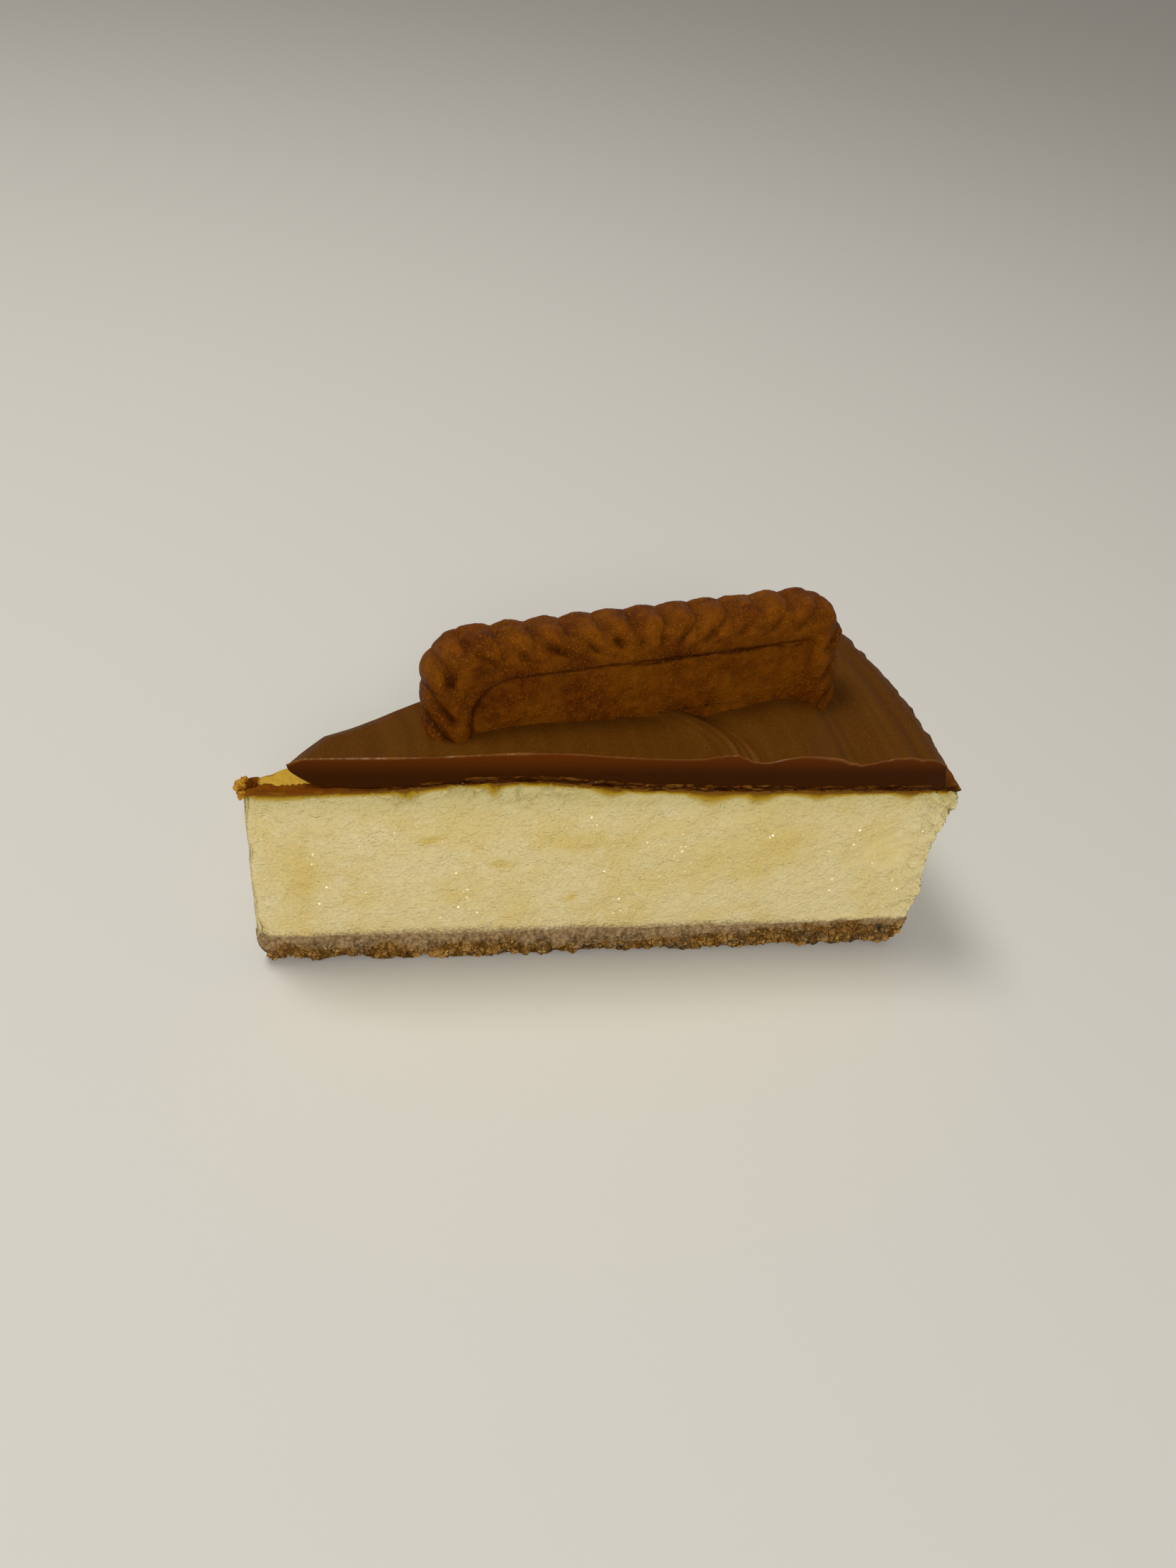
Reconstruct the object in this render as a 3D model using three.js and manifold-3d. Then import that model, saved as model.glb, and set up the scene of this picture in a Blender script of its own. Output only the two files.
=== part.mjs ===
// A slice of caramelised biscuit cheesecake: a crumb base, a baked cream cheese
// filling, a spread caramel topping and one pressed biscuit pushed into the top.
// Millimetres, Z up. X runs along the middle of the wedge from its tip to its rim,
// and the cut face at minus Y is the near one.

import * as THREE from 'three';
import { ImprovedNoise } from 'three/addons/math/ImprovedNoise.js';
import { mergeVertices } from 'three/addons/utils/BufferGeometryUtils.js';
import Module from 'manifold-3d';

// The round cake that the slice was cut from
const CAKE_RADIUS = 101.8;
const WEDGE_ANGLE = THREE.MathUtils.degToRad(26.3);
const WEDGE_MIDDLE = 0.6 * CAKE_RADIUS;
const TIP_WIDTH = 1.5;
const LAYER_GAP = 0.3;

// The rim's outer face begins at this share of the wedge, and the cuts are less rough
const RIM_START = 0.96;
const CUT_ROUGHNESS = 0.25;

// Crumb base
const BASE_HEIGHT = 5.9;
const BASE_RIM_RISE = 0.5;
const BASE_WAVE = { height: 0.4, size: 11, layer: 0.4 };
const BASE_BELLY = 0.6;
const BASE_CRUMBS = { depth: 1.1, size: 3.5, layer: 1.3 };
const BASE_EDGE = { wear: 1.1, least: 0.45, change: 0.4, size: 4, layer: 7.1 };
const BASE_EDGE_INWARD = 0.9;
const BASE_EDGE_LIFT = { atEnds: 0.9, atCuts: 0.25 };

// Cream cheese filling
const FILLING_HEIGHT = 34.6;
const FILLING_PUFF = { height: 1.9, place: 36, width: 16 };
const FILLING_WAVE = { height: 0.35, size: 13, layer: 5.2 };
const FILLING_RIM_INSET = 0.7;
const FILLING_CRUMBS = { depth: 1, size: 6, layer: 3.9 };
const RIM_BELLY = { height: 1.5, place: 0.2, width: 0.2 };
const RIM_SHOULDER = { height: 0.8, place: 0.78, width: 0.13 };

// Torn skin that stands up at the tip of the filling
const TORN_SKIN_REACH = { height: 1.3, place: 0, width: 2 };
const TORN_SKIN_HEIGHT = { height: 1.7, place: 0, width: 4.2 };
const TORN_SKIN_START = 0.86;
const TORN_SKIN_FLAKES = { least: 0.7, change: 1.2, size: 2.2, layer: 2.6 };

// Caramel topping
const TOPPING_RADIUS = 97.9;
const TOPPING_HEIGHT = 40.4;
const TOPPING_WAVE = { height: 0.3, size: 12, layer: 9.7 };
const TOPPING_CRUMBS = { depth: 1.3, size: 4, layer: 6.4 };
const NOSE_NEAR = new THREE.Vector2(5.6, -1.95);
const NOSE_FAR = new THREE.Vector2(11.4, 2.7);
const NOSE_UNDERCUT = 5.5;
const UNDERCUT_CURVE = 2.2;
const NOSE_BULGE = 0.3;
const SHOULDER = { drop: 1.2, width: 2.4, from: 14, to: 30 };

// Ridges of the spatula, by their distance from the middle of the whole cake
const SPREAD_RIDGES = [
  { height: 0.9, place: 38, width: 13 },
  { height: 0.5, place: 76.5, width: 3.2 },
  { height: -0.8, place: 85, width: 2.6 },
  { height: 0.3, place: 91, width: 2.4 },
  { height: -1.3, place: TOPPING_RADIUS + 0.6, width: 1.6 },
];

// Lip where the spatula was lifted: it curls in from the near cut and fades behind it
const LIP_START = 67.8;
const LIP_CURL = 0.064;
const LIP_RISE = { height: 0.95, place: -2.4, width: 2.6 };
const LIP_HOLLOW = { height: -0.7, place: 2.6, width: 2.3 };
const LIP_FADE_START = THREE.MathUtils.degToRad(-4);
const LIP_FADE_END = THREE.MathUtils.degToRad(6);

// Pressed biscuit, lying flat on its back before it is stood up
const BISCUIT_LENGTH = 62;
const BISCUIT_WIDTH = 29.5;
const BISCUIT_THICKNESS = 8;
const BISCUIT_CORNER = 7;
const PANEL_INSET = 6;
const PANEL_HEIGHT = 6.4;
const RIM_LOBES = 36;
const SAMPLES_PER_LOBE = 4;
const LOBE_DEPTH = 0.65;
const LOBE_CURVE = 0.8;
const GROOVE_DEPTH = 0.9;
const GROOVE_RUN = 4.4;
const SLANT_CHANGE = 6;
const OUTLINE_WOBBLE = { depth: 0.5, size: 7, onFront: 0.4 };

// How the biscuit stands in the cake, from the middle of its front contact line
const BISCUIT_FOOT = new THREE.Vector3(55, -4.5, 40.9);
const BISCUIT_TURN = THREE.MathUtils.degToRad(-2.8);
const BISCUIT_LEAN = THREE.MathUtils.degToRad(10);
const BISCUIT_PITCH = THREE.MathUtils.degToRad(2.2);
const CENTRE_ABOVE_FOOT = 0.2;
const FRONT_SHARE = 0.88;
const POCKET_CLEARANCE = 0.35;
const POCKET_CURVE_SEGMENTS = 6;

// Grid steps of each layer along, across and up the wedge
const BASE_STEPS = [46, 8, 3];
const FILLING_STEPS = [46, 8, 9];
const TOPPING_STEPS = [56, 14, 4];

// Plain colours and how matt each food is
const CRUMB_LOOK = { color: 0x7c6341, roughness: 0.9 };
const CREAM_LOOK = { color: 0xc9b578, roughness: 0.7 };
const CARAMEL_LOOK = { color: 0x4e2e0b, roughness: 0.42 };
const BISCUIT_LOOK = { color: 0x603106, roughness: 0.62 };

const perlin = new ImprovedNoise();

// Bumps about one size wide, between minus one and one, that repeat on every run
function bumps(point, { size, layer }) {
  return perlin.noise(point.x / size + layer, point.y / size + layer, point.z / size + layer);
}

// A gentle wave of a layer's surface at a place in the cake
function wave(x, y, { height, size, layer }) {
  return height * perlin.noise(x / size, y / size, layer);
}

// A smooth ridge, highest at its place
function ridge(value, { height, place, width }) {
  return height * Math.exp(-(((value - place) / width) ** 2));
}

// Height of the line between base and filling
function baseTop(x, y) {
  const radius = Math.hypot(x, y);
  return BASE_HEIGHT + BASE_RIM_RISE * (radius / CAKE_RADIUS) ** 2 + wave(x, y, BASE_WAVE);
}

// Height of the line between filling and topping, highest a third of the way out
function fillingTop(x, y) {
  return FILLING_HEIGHT + ridge(Math.hypot(x, y), FILLING_PUFF) + wave(x, y, FILLING_WAVE);
}

// Height of the spread caramel, with the curved ridges and the lip that the spatula left
function toppingTop(x, y) {
  const radius = Math.hypot(x, y);
  const angle = Math.atan2(y, x);
  const turned = THREE.MathUtils.radToDeg(angle + WEDGE_ANGLE / 2);
  const fromLip = radius - LIP_START + LIP_CURL * Math.max(turned, 0) ** 2;
  const nearFace = 1 - THREE.MathUtils.smoothstep(angle, LIP_FADE_START, LIP_FADE_END);
  const lip = nearFace * (ridge(fromLip, LIP_RISE) + ridge(fromLip, LIP_HOLLOW));
  const ridges = SPREAD_RIDGES.reduce((sum, shape) => sum + ridge(radius, shape), 0);
  return TOPPING_HEIGHT + ridges + lip + wave(x, y, TOPPING_WAVE);
}

// A closed wedge layer: a box grid whose points are moved by place(along, across, up)
function wedgeLayer(steps, place) {
  const geometry = new THREE.BoxGeometry(1, 1, 1, ...steps);
  const position = geometry.attributes.position;
  for (let i = 0; i < position.count; i++) {
    const along = position.getX(i) + 0.5;
    const across = position.getY(i) + 0.5;
    const up = position.getZ(i) + 0.5;
    const point = place(along, across, up);
    position.setXYZ(i, point.x, point.y, point.z);
  }
  return closedGeometry(geometry);
}

// Keeps only the corner points, joins those that coincide and drops empty triangles
function closedGeometry(source) {
  const bare = source.clone();
  bare.deleteAttribute('normal');
  bare.deleteAttribute('uv');
  const merged = mergeVertices(bare, 1e-4);
  const index = merged.index.array;
  const kept = [];
  for (let i = 0; i < index.length; i += 3) {
    const [a, b, c] = index.slice(i, i + 3);
    if (a !== b && b !== c && c !== a) kept.push(a, b, c);
  }
  merged.setIndex(kept);
  return merged;
}

// A point of the plan between the tip edge and the rim
function planPoint(along, across, tipNear, tipFar, radius) {
  const angle = (across - 0.5) * WEDGE_ANGLE;
  const tip = tipNear.clone().lerp(tipFar, across);
  const rim = new THREE.Vector2(radius * Math.cos(angle), radius * Math.sin(angle));
  return tip.lerp(rim, along);
}

const TIP_NEAR = new THREE.Vector2(0, -TIP_WIDTH / 2);
const TIP_FAR = new THREE.Vector2(0, TIP_WIDTH / 2);

// Pushes a point of a side wall out or in by crumbs, most at the rim and least on the cuts
function roughen(point, along, crumbs) {
  const atRim = THREE.MathUtils.smoothstep(along, RIM_START, 1);
  const share = THREE.MathUtils.lerp(CUT_ROUGHNESS, 1, atRim);
  const push = crumbs.depth * share * bumps(point, crumbs);
  const outward = new THREE.Vector2(point.x - WEDGE_MIDDLE, point.y).normalize();
  point.x += push * outward.x;
  point.y += push * outward.y;
}

// Crumb base: flat below, worn round its lower edge, ragged on its sides
function crumbBase() {
  return wedgeLayer(BASE_STEPS, (along, across, up) => {
    const rimRadius = CAKE_RADIUS + BASE_BELLY * Math.sin(Math.PI * up);
    const plan = planPoint(along, across, TIP_NEAR, TIP_FAR, rimRadius);
    const top = baseTop(plan.x, plan.y) - LAYER_GAP / 2;
    const point = new THREE.Vector3(plan.x, plan.y, up * top);
    const atEnd = along === 0 || along === 1;
    const onWall = atEnd || across === 0 || across === 1;
    if (onWall) roughen(point, along, BASE_CRUMBS);
    const ragged = BASE_EDGE.wear * (BASE_EDGE.least + BASE_EDGE.change * bumps(point, BASE_EDGE));
    if (onWall && up === 0) {
      const inward = new THREE.Vector3(WEDGE_MIDDLE, 0, 0).sub(point).setZ(0).normalize();
      point.addScaledVector(inward, BASE_EDGE_INWARD * ragged);
      point.z += ragged * (atEnd ? BASE_EDGE_LIFT.atEnds : BASE_EDGE_LIFT.atCuts);
    }
    return point;
  });
}

// Filling: smooth knife cuts, a bellied crumbly rim and torn skin standing up at the tip
function cheesecakeFilling() {
  return wedgeLayer(FILLING_STEPS, (along, across, up) => {
    const rimRadius = CAKE_RADIUS - FILLING_RIM_INSET + ridge(up, RIM_BELLY) + ridge(up, RIM_SHOULDER);
    const plan = planPoint(along, across, TIP_NEAR, TIP_FAR, rimRadius);
    const bottom = baseTop(plan.x, plan.y) + LAYER_GAP / 2;
    const top = fillingTop(plan.x, plan.y) - LAYER_GAP / 2;
    const point = new THREE.Vector3(plan.x, plan.y, THREE.MathUtils.lerp(bottom, top, up));
    const onWall = along === 0 || along === 1 || across === 0 || across === 1;
    if (onWall && up > 0) roughen(point, along, FILLING_CRUMBS);
    const radius = Math.hypot(plan.x, plan.y);
    const nearTop = THREE.MathUtils.smoothstep(up, TORN_SKIN_START, 1);
    const tornSkin = nearTop * ridge(radius, TORN_SKIN_HEIGHT);
    const reach = ridge(radius, TORN_SKIN_REACH) / TORN_SKIN_HEIGHT.height;
    point.x -= reach * tornSkin;
    point.z += tornSkin * (TORN_SKIN_FLAKES.least + TORN_SKIN_FLAKES.change * bumps(point, TORN_SKIN_FLAKES));
    return point;
  });
}

// Topping: stops short of the tip in a rounded nose, undercut below
function caramelTopping() {
  return wedgeLayer(TOPPING_STEPS, (along, across, up) => {
    const undercut = NOSE_UNDERCUT * (1 - up) ** UNDERCUT_CURVE;
    const retreat = new THREE.Vector2(undercut - NOSE_BULGE * Math.sin(Math.PI * across), 0);
    const near = NOSE_NEAR.clone().add(retreat);
    near.y -= undercut * Math.tan(WEDGE_ANGLE / 2);
    const far = NOSE_FAR.clone().add(retreat);
    far.y += undercut * Math.tan(WEDGE_ANGLE / 2);
    const plan = planPoint(along, across, near, far, TOPPING_RADIUS);
    const bottom = fillingTop(plan.x, plan.y) + LAYER_GAP / 2;
    const top = toppingTop(plan.x, plan.y);
    const point = new THREE.Vector3(plan.x, plan.y, THREE.MathUtils.lerp(bottom, top, up));
    point.z -= SHOULDER.drop * shoulderShare(plan) * up ** 2;
    if (along === 1) roughen(point, along, TOPPING_CRUMBS);
    return point;
  });
}

// How much a place lies on the sunk shoulder along the nose and the far cut
function shoulderShare(plan) {
  const intoNose = noseInward.dot(plan.clone().sub(NOSE_NEAR));
  const intoFarCut = farCutInward.dot(plan.clone().sub(TIP_FAR));
  const poured = THREE.MathUtils.smoothstep(Math.min(intoNose, intoFarCut), 0, SHOULDER.width);
  return (1 - poured) * (1 - THREE.MathUtils.smoothstep(plan.x, SHOULDER.from, SHOULDER.to));
}

const noseRun = NOSE_FAR.clone().sub(NOSE_NEAR).normalize();
const noseInward = new THREE.Vector2(noseRun.y, -noseRun.x);
const farCutInward = new THREE.Vector2(Math.sin(WEDGE_ANGLE / 2), -Math.cos(WEDGE_ANGLE / 2));

// A point on a rounded rectangle: its corner circle's centre and the outward direction
function roundedOutline(turn, length, width, corner) {
  const straightX = length - 2 * corner;
  const straightY = width - 2 * corner;
  const arc = (Math.PI / 2) * corner;
  const sides = [
    { from: [0.5, -0.5], to: [0.5, 0.5], run: straightY, start: 0 },
    { from: [0.5, 0.5], to: [-0.5, 0.5], run: straightX, start: Math.PI / 2 },
    { from: [-0.5, 0.5], to: [-0.5, -0.5], run: straightY, start: Math.PI },
    { from: [-0.5, -0.5], to: [0.5, -0.5], run: straightX, start: -Math.PI / 2 },
  ];
  let travel = turn * 2 * (straightX + straightY + 2 * arc);
  for (const side of sides) {
    const direction = new THREE.Vector2(Math.cos(side.start), Math.sin(side.start));
    if (travel <= side.run) {
      const share = travel / side.run;
      const centre = new THREE.Vector2(
        THREE.MathUtils.lerp(side.from[0], side.to[0], share) * straightX,
        THREE.MathUtils.lerp(side.from[1], side.to[1], share) * straightY,
      );
      return { centre, direction };
    }
    travel -= side.run;
    if (travel <= arc) {
      const angle = side.start + travel / corner;
      const centre = new THREE.Vector2(side.to[0] * straightX, side.to[1] * straightY);
      return { centre, direction: new THREE.Vector2(Math.cos(angle), Math.sin(angle)) };
    }
    travel -= arc;
  }
  return roundedOutline(0, length, width, corner);
}

// Section of the biscuit from the middle of its back over the rim to the middle of its
// front, as inset from the outline, height, and how far the lobes and grooves reach there
const BISCUIT_SECTION = [
  { inset: BISCUIT_CORNER, height: 0, lobe: 0, groove: 0, centre: true },
  { inset: 1.4, height: 0, lobe: 0.3, groove: 0 },
  { inset: 0.2, height: 1.2, lobe: 1, groove: 0 },
  { inset: 0, height: 4.6, lobe: 1, groove: 0 },
  { inset: 0.7, height: 6.7, lobe: 0.9, groove: 0.6 },
  { inset: 2, height: 7.7, lobe: 0.4, groove: 1 },
  { inset: 3.4, height: BISCUIT_THICKNESS, lobe: 0, groove: 0.8 },
  { inset: 4.8, height: 7.6, lobe: 0, groove: 0.4 },
  { inset: PANEL_INSET, height: PANEL_HEIGHT - 0.1, lobe: 0, groove: 0 },
  { inset: BISCUIT_CORNER, height: PANEL_HEIGHT, lobe: 0, groove: 0, centre: true },
];

// Biscuit: a turned section whose rings are moved out to a scalloped, roped rectangle
function pressedBiscuit() {
  const profile = BISCUIT_SECTION.map((ring, i) => new THREE.Vector2(ring.centre ? 0 : 1, i));
  const samples = RIM_LOBES * SAMPLES_PER_LOBE;
  const geometry = new THREE.LatheGeometry(profile, samples);
  const position = geometry.attributes.position;
  const rings = BISCUIT_SECTION.length;
  for (let i = 0; i < position.count; i++) {
    const ring = BISCUIT_SECTION[i % rings];
    const sample = Math.floor(i / rings) % samples;
    if (ring.centre) {
      position.setXYZ(i, 0, 0, ring.height);
      continue;
    }
    const outline = roundedOutline(sample / samples, BISCUIT_LENGTH, BISCUIT_WIDTH, BISCUIT_CORNER);
    const lobePlace = (sample / SAMPLES_PER_LOBE) % 1;
    const valley = 1 - Math.sin(Math.PI * lobePlace) ** LOBE_CURVE;
    const side = THREE.MathUtils.clamp(outline.centre.x / SLANT_CHANGE, -1, 1);
    const slant = side * (Math.abs(outline.direction.x) - Math.abs(outline.direction.y));
    const groovePlace = lobePlace + (slant * ring.inset) / GROOVE_RUN;
    const groove = 1 - Math.abs(Math.sin(Math.PI * groovePlace)) ** LOBE_CURVE;
    const reach = BISCUIT_CORNER - ring.inset - LOBE_DEPTH * ring.lobe * valley;
    const plan = outline.centre.clone().addScaledVector(outline.direction, reach);
    const { depth, size, onFront } = OUTLINE_WOBBLE;
    const wobble = depth * perlin.noise(plan.x / size, plan.y / size, ring.height / size);
    plan.addScaledVector(outline.direction, wobble * (ring.lobe > 0 ? 1 : onFront));
    position.setXYZ(i, plan.x, plan.y, ring.height - GROOVE_DEPTH * ring.groove * groove);
  }
  return closedGeometry(geometry);
}

// A flat block with round corners, lying on the XY plane
function roundedBlock(length, width, corner, bottom, top) {
  const centreX = length / 2 - corner;
  const centreY = width / 2 - corner;
  const outline = new THREE.Shape();
  outline.absarc(centreX, -centreY, corner, -Math.PI / 2, 0);
  outline.absarc(centreX, centreY, corner, 0, Math.PI / 2);
  outline.absarc(-centreX, centreY, corner, Math.PI / 2, Math.PI);
  outline.absarc(-centreX, -centreY, corner, Math.PI, 1.5 * Math.PI);
  const block = new THREE.ExtrudeGeometry(outline, {
    depth: top - bottom,
    bevelEnabled: false,
    curveSegments: POCKET_CURVE_SEGMENTS,
  });
  block.translate(0, 0, bottom);
  return closedGeometry(block);
}

const wasm = await Module();
wasm.setup();

// Turns a closed geometry into a solid that can be cut
function toSolid(geometry) {
  return new wasm.Manifold(new wasm.Mesh({
    numProp: 3,
    vertProperties: Float32Array.from(geometry.attributes.position.array),
    triVerts: Uint32Array.from(geometry.index.array),
  }));
}

// Turns a cut solid back into a geometry
function toGeometry(solid) {
  const mesh = solid.getMesh();
  const geometry = new THREE.BufferGeometry();
  geometry.setAttribute('position', new THREE.BufferAttribute(mesh.vertProperties, 3));
  geometry.setIndex(new THREE.BufferAttribute(mesh.triVerts, 1));
  return geometry;
}

// A named mesh with a matt or slightly glossy food surface
function foodMesh(name, geometry, look) {
  const material = new THREE.MeshStandardMaterial({ ...look, metalness: 0, flatShading: true });
  const mesh = new THREE.Mesh(geometry, material);
  mesh.name = name;
  return mesh;
}

// The biscuit stands in nested groups: turned and leant at its foot, then pitched
const foot = new THREE.Group();
foot.position.copy(BISCUIT_FOOT);
foot.rotation.set(Math.PI / 2 - BISCUIT_LEAN, 0, BISCUIT_TURN, 'ZXY');
const biscuit = foodMesh('pressed_biscuit', pressedBiscuit(), BISCUIT_LOOK);
biscuit.position.set(0, CENTRE_ABOVE_FOOT, -FRONT_SHARE * BISCUIT_THICKNESS);
biscuit.rotation.z = BISCUIT_PITCH;
foot.add(biscuit);
foot.updateMatrixWorld(true);

// The pocket is a little larger than the biscuit, and cake fills the sunk panel
const room = roundedBlock(
  BISCUIT_LENGTH + 2 * POCKET_CLEARANCE,
  BISCUIT_WIDTH + 2 * POCKET_CLEARANCE,
  BISCUIT_CORNER,
  -POCKET_CLEARANCE,
  BISCUIT_THICKNESS + POCKET_CLEARANCE,
);
const panelInset = 2 * (PANEL_INSET + POCKET_CLEARANCE);
const panelFill = roundedBlock(
  BISCUIT_LENGTH - panelInset,
  BISCUIT_WIDTH - panelInset,
  BISCUIT_CORNER - PANEL_INSET,
  PANEL_HEIGHT + POCKET_CLEARANCE,
  2 * BISCUIT_THICKNESS,
);
const pocket = toSolid(room.applyMatrix4(biscuit.matrixWorld))
  .subtract(toSolid(panelFill.applyMatrix4(biscuit.matrixWorld)));
const filling = toGeometry(toSolid(cheesecakeFilling()).subtract(pocket));
const topping = toGeometry(toSolid(caramelTopping()).subtract(pocket));

const slice = new THREE.Group();
slice.add(foodMesh('crumb_base', crumbBase(), CRUMB_LOOK));
slice.add(foodMesh('cheesecake_filling', filling, CREAM_LOOK));
slice.add(foodMesh('caramel_topping', topping, CARAMEL_LOOK));
slice.add(foot);

// The origin is the middle of the underside
const extent = new THREE.Box3().setFromObject(slice);
const middle = extent.getCenter(new THREE.Vector3());
slice.position.set(-middle.x, -middle.y, -extent.min.z);

const cheesecakeSlice = new THREE.Group();
cheesecakeSlice.add(slice);

export default cheesecakeSlice;
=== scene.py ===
# %% [markdown]
# # A slice of caramelised biscuit cheesecake
# The slice has four layers that a cook would name: a crumb base, a baked cream cheese
# filling, a spread caramel topping and one pressed biscuit pushed into the top. The packed
# CAD model fixes where each one is and how large it is. This lesson replaces each plain solid
# by a dense mesh of the same form, adds the crumbs, flakes and skin that are too fine for a
# CAD model, and gives every surface a finish made of nodes.

import math

import bmesh
import bpy
import numpy as np
from mathutils import Matrix, Vector


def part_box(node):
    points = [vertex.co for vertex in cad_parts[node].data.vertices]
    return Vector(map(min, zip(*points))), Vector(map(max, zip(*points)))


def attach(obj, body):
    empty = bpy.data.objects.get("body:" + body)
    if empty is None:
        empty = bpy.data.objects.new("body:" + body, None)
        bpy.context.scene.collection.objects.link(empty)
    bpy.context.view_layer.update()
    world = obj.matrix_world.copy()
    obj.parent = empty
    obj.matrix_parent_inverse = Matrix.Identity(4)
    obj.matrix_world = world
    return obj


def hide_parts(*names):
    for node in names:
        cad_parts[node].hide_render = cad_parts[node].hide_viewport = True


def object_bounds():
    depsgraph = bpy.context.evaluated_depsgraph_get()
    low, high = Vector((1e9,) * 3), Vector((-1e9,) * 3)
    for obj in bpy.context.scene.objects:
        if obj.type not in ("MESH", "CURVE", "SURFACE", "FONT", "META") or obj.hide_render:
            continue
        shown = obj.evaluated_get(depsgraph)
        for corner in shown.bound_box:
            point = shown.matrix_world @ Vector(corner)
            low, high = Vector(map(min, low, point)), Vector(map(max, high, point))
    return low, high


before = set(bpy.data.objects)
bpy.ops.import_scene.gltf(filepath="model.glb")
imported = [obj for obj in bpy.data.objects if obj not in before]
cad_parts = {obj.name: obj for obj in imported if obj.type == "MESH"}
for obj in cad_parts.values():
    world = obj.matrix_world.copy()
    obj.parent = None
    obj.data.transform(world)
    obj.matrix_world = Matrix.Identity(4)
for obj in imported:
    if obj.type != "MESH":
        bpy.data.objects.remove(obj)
CAD_LOW, CAD_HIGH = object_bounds()
print("CAD nodes:", sorted(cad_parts))

# %% [markdown]
# ## One set of measures
# A cook measures a cake from its middle, so the shapes are worked out in millimetres from the
# point of the slice: x runs out to the rim, y runs away from the near cut and z is up. The
# same cut can also be read as a ruler: how far along it a place is, and how deep behind it.
# At the end each piece is shifted to where the frame has it and turned into metres.

# %% Millimetres, the point of the slice and its two cuts
MM = 0.001
base_low, base_high = (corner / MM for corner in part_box("crumb_base"))
TIP = np.array([base_low.x, (base_low.y + base_high.y) / 2, 0.0])
TIP_WIDTH = 1.5
WEDGE_ANGLE = math.radians(26.3)
CAKE_RADIUS = 101.8
NEAR_CUT_ANGLE = math.radians(12.73)
CUT_COS, CUT_SIN = math.cos(NEAR_CUT_ANGLE), math.sin(NEAR_CUT_ANGLE)


def along_cut(points):
    """How far each point is from the tip, measured along the near cut."""
    return points[:, 0] * CUT_COS - (points[:, 1] + TIP_WIDTH / 2) * CUT_SIN


def behind_cut(points):
    """How deep each point lies behind the near cut."""
    return points[:, 0] * CUT_SIN + (points[:, 1] + TIP_WIDTH / 2) * CUT_COS


def behind_far_cut(points):
    """How deep each point lies behind the far cut, which mirrors the near one."""
    return behind_cut(points * (1, -1, 1))


def radius_of(points):
    """Distance from the middle of the whole cake."""
    return np.hypot(points[:, 0], points[:, 1])


print("slice length", round(base_high.x - base_low.x, 1), "mm")

# %% [markdown]
# ## Noise that repeats
# Food is uneven, but a script must give the same cake each time. A small cube of seeded random
# numbers is enough: between its numbers the value is blended, and past its edge it repeats.
# `lumps` stacks such bumps in sizes, and `pebbles` finds the nearest of many scattered middles,
# which gives packed crumbs with creases between them.

# %% Bumps, steps and packed crumbs
LATTICE = 32
LAYER_SHIFT = 5.37
lattice_random = np.random.default_rng(11)
BUMP_LATTICE = lattice_random.uniform(-1, 1, (LATTICE,) * 3)
CRUMB_LATTICE = lattice_random.uniform(-1, 1, (LATTICE,) * 3 + (3,))
CRUMB_JITTER = 0.45


def hump(value, place, width):
    """A smooth hump of height one at the given place."""
    return np.exp(-(((value - place) / width) ** 2))


def ease(value, start, end):
    """Goes smoothly from zero at start to one at end."""
    share = np.clip((value - start) / (end - start), 0, 1)
    return share * share * (3 - 2 * share)


def bump_layer(points, size, shift):
    """One layer of bumps, blended between the numbers of the cube round each point."""
    scaled = points / size + shift
    cell = np.floor(scaled).astype(int)
    share = scaled - cell
    blend = share * share * (3 - 2 * share)
    total = np.zeros(len(points))
    for corner in np.ndindex(2, 2, 2):
        weight = np.prod(np.where(corner, blend, 1 - blend), axis=1)
        total += weight * BUMP_LATTICE[tuple(((cell + corner) % LATTICE).T)]
    return total


def lumps(points, size, shift=0.0, layers=3):
    """Bumps on bumps, each layer half as wide and half as high as the one before."""
    total = np.zeros(len(points))
    for layer in range(layers):
        total += bump_layer(points, size / 2**layer, shift + LAYER_SHIFT * layer) / 2**layer
    return total


def pushed_about(points, size, amount):
    """The same points moved a little by noise, which turns straight flakes into curls."""
    pushes = [lumps(points, size, shift, 2) for shift in (1.3, 4.6, 7.9)]
    return points + amount * np.stack(pushes, axis=1)


def pebbles(points, size, shift=0.0):
    """Distance to the nearest crumb middle, and how much farther the next one is."""
    scaled = points / size + shift
    cell = np.floor(scaled).astype(int)
    nearest = np.full(len(points), 9.0)
    second = nearest.copy()
    for step in np.ndindex(3, 3, 3):
        home = cell + np.array(step) - 1
        middle = home + 0.5 + CRUMB_JITTER * CRUMB_LATTICE[tuple((home % LATTICE).T)]
        distance = np.linalg.norm(scaled - middle, axis=1)
        second = np.minimum(second, np.maximum(nearest, distance))
        nearest = np.minimum(nearest, distance)
    return nearest, second - nearest


print("noise ready, lattice of", LATTICE**3, "numbers")

# %% [markdown]
# ## A block's skin
# Each layer of the cake is a block that was bent to a wedge. Its skin is a grid of quads on the
# six sides that share their edge points, so the mesh is closed. A function then moves every
# point from its place in the block to its place in the cake. This keeps the quads even, and
# relief can be added afterwards by pushing the points out along the way they face.

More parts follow.
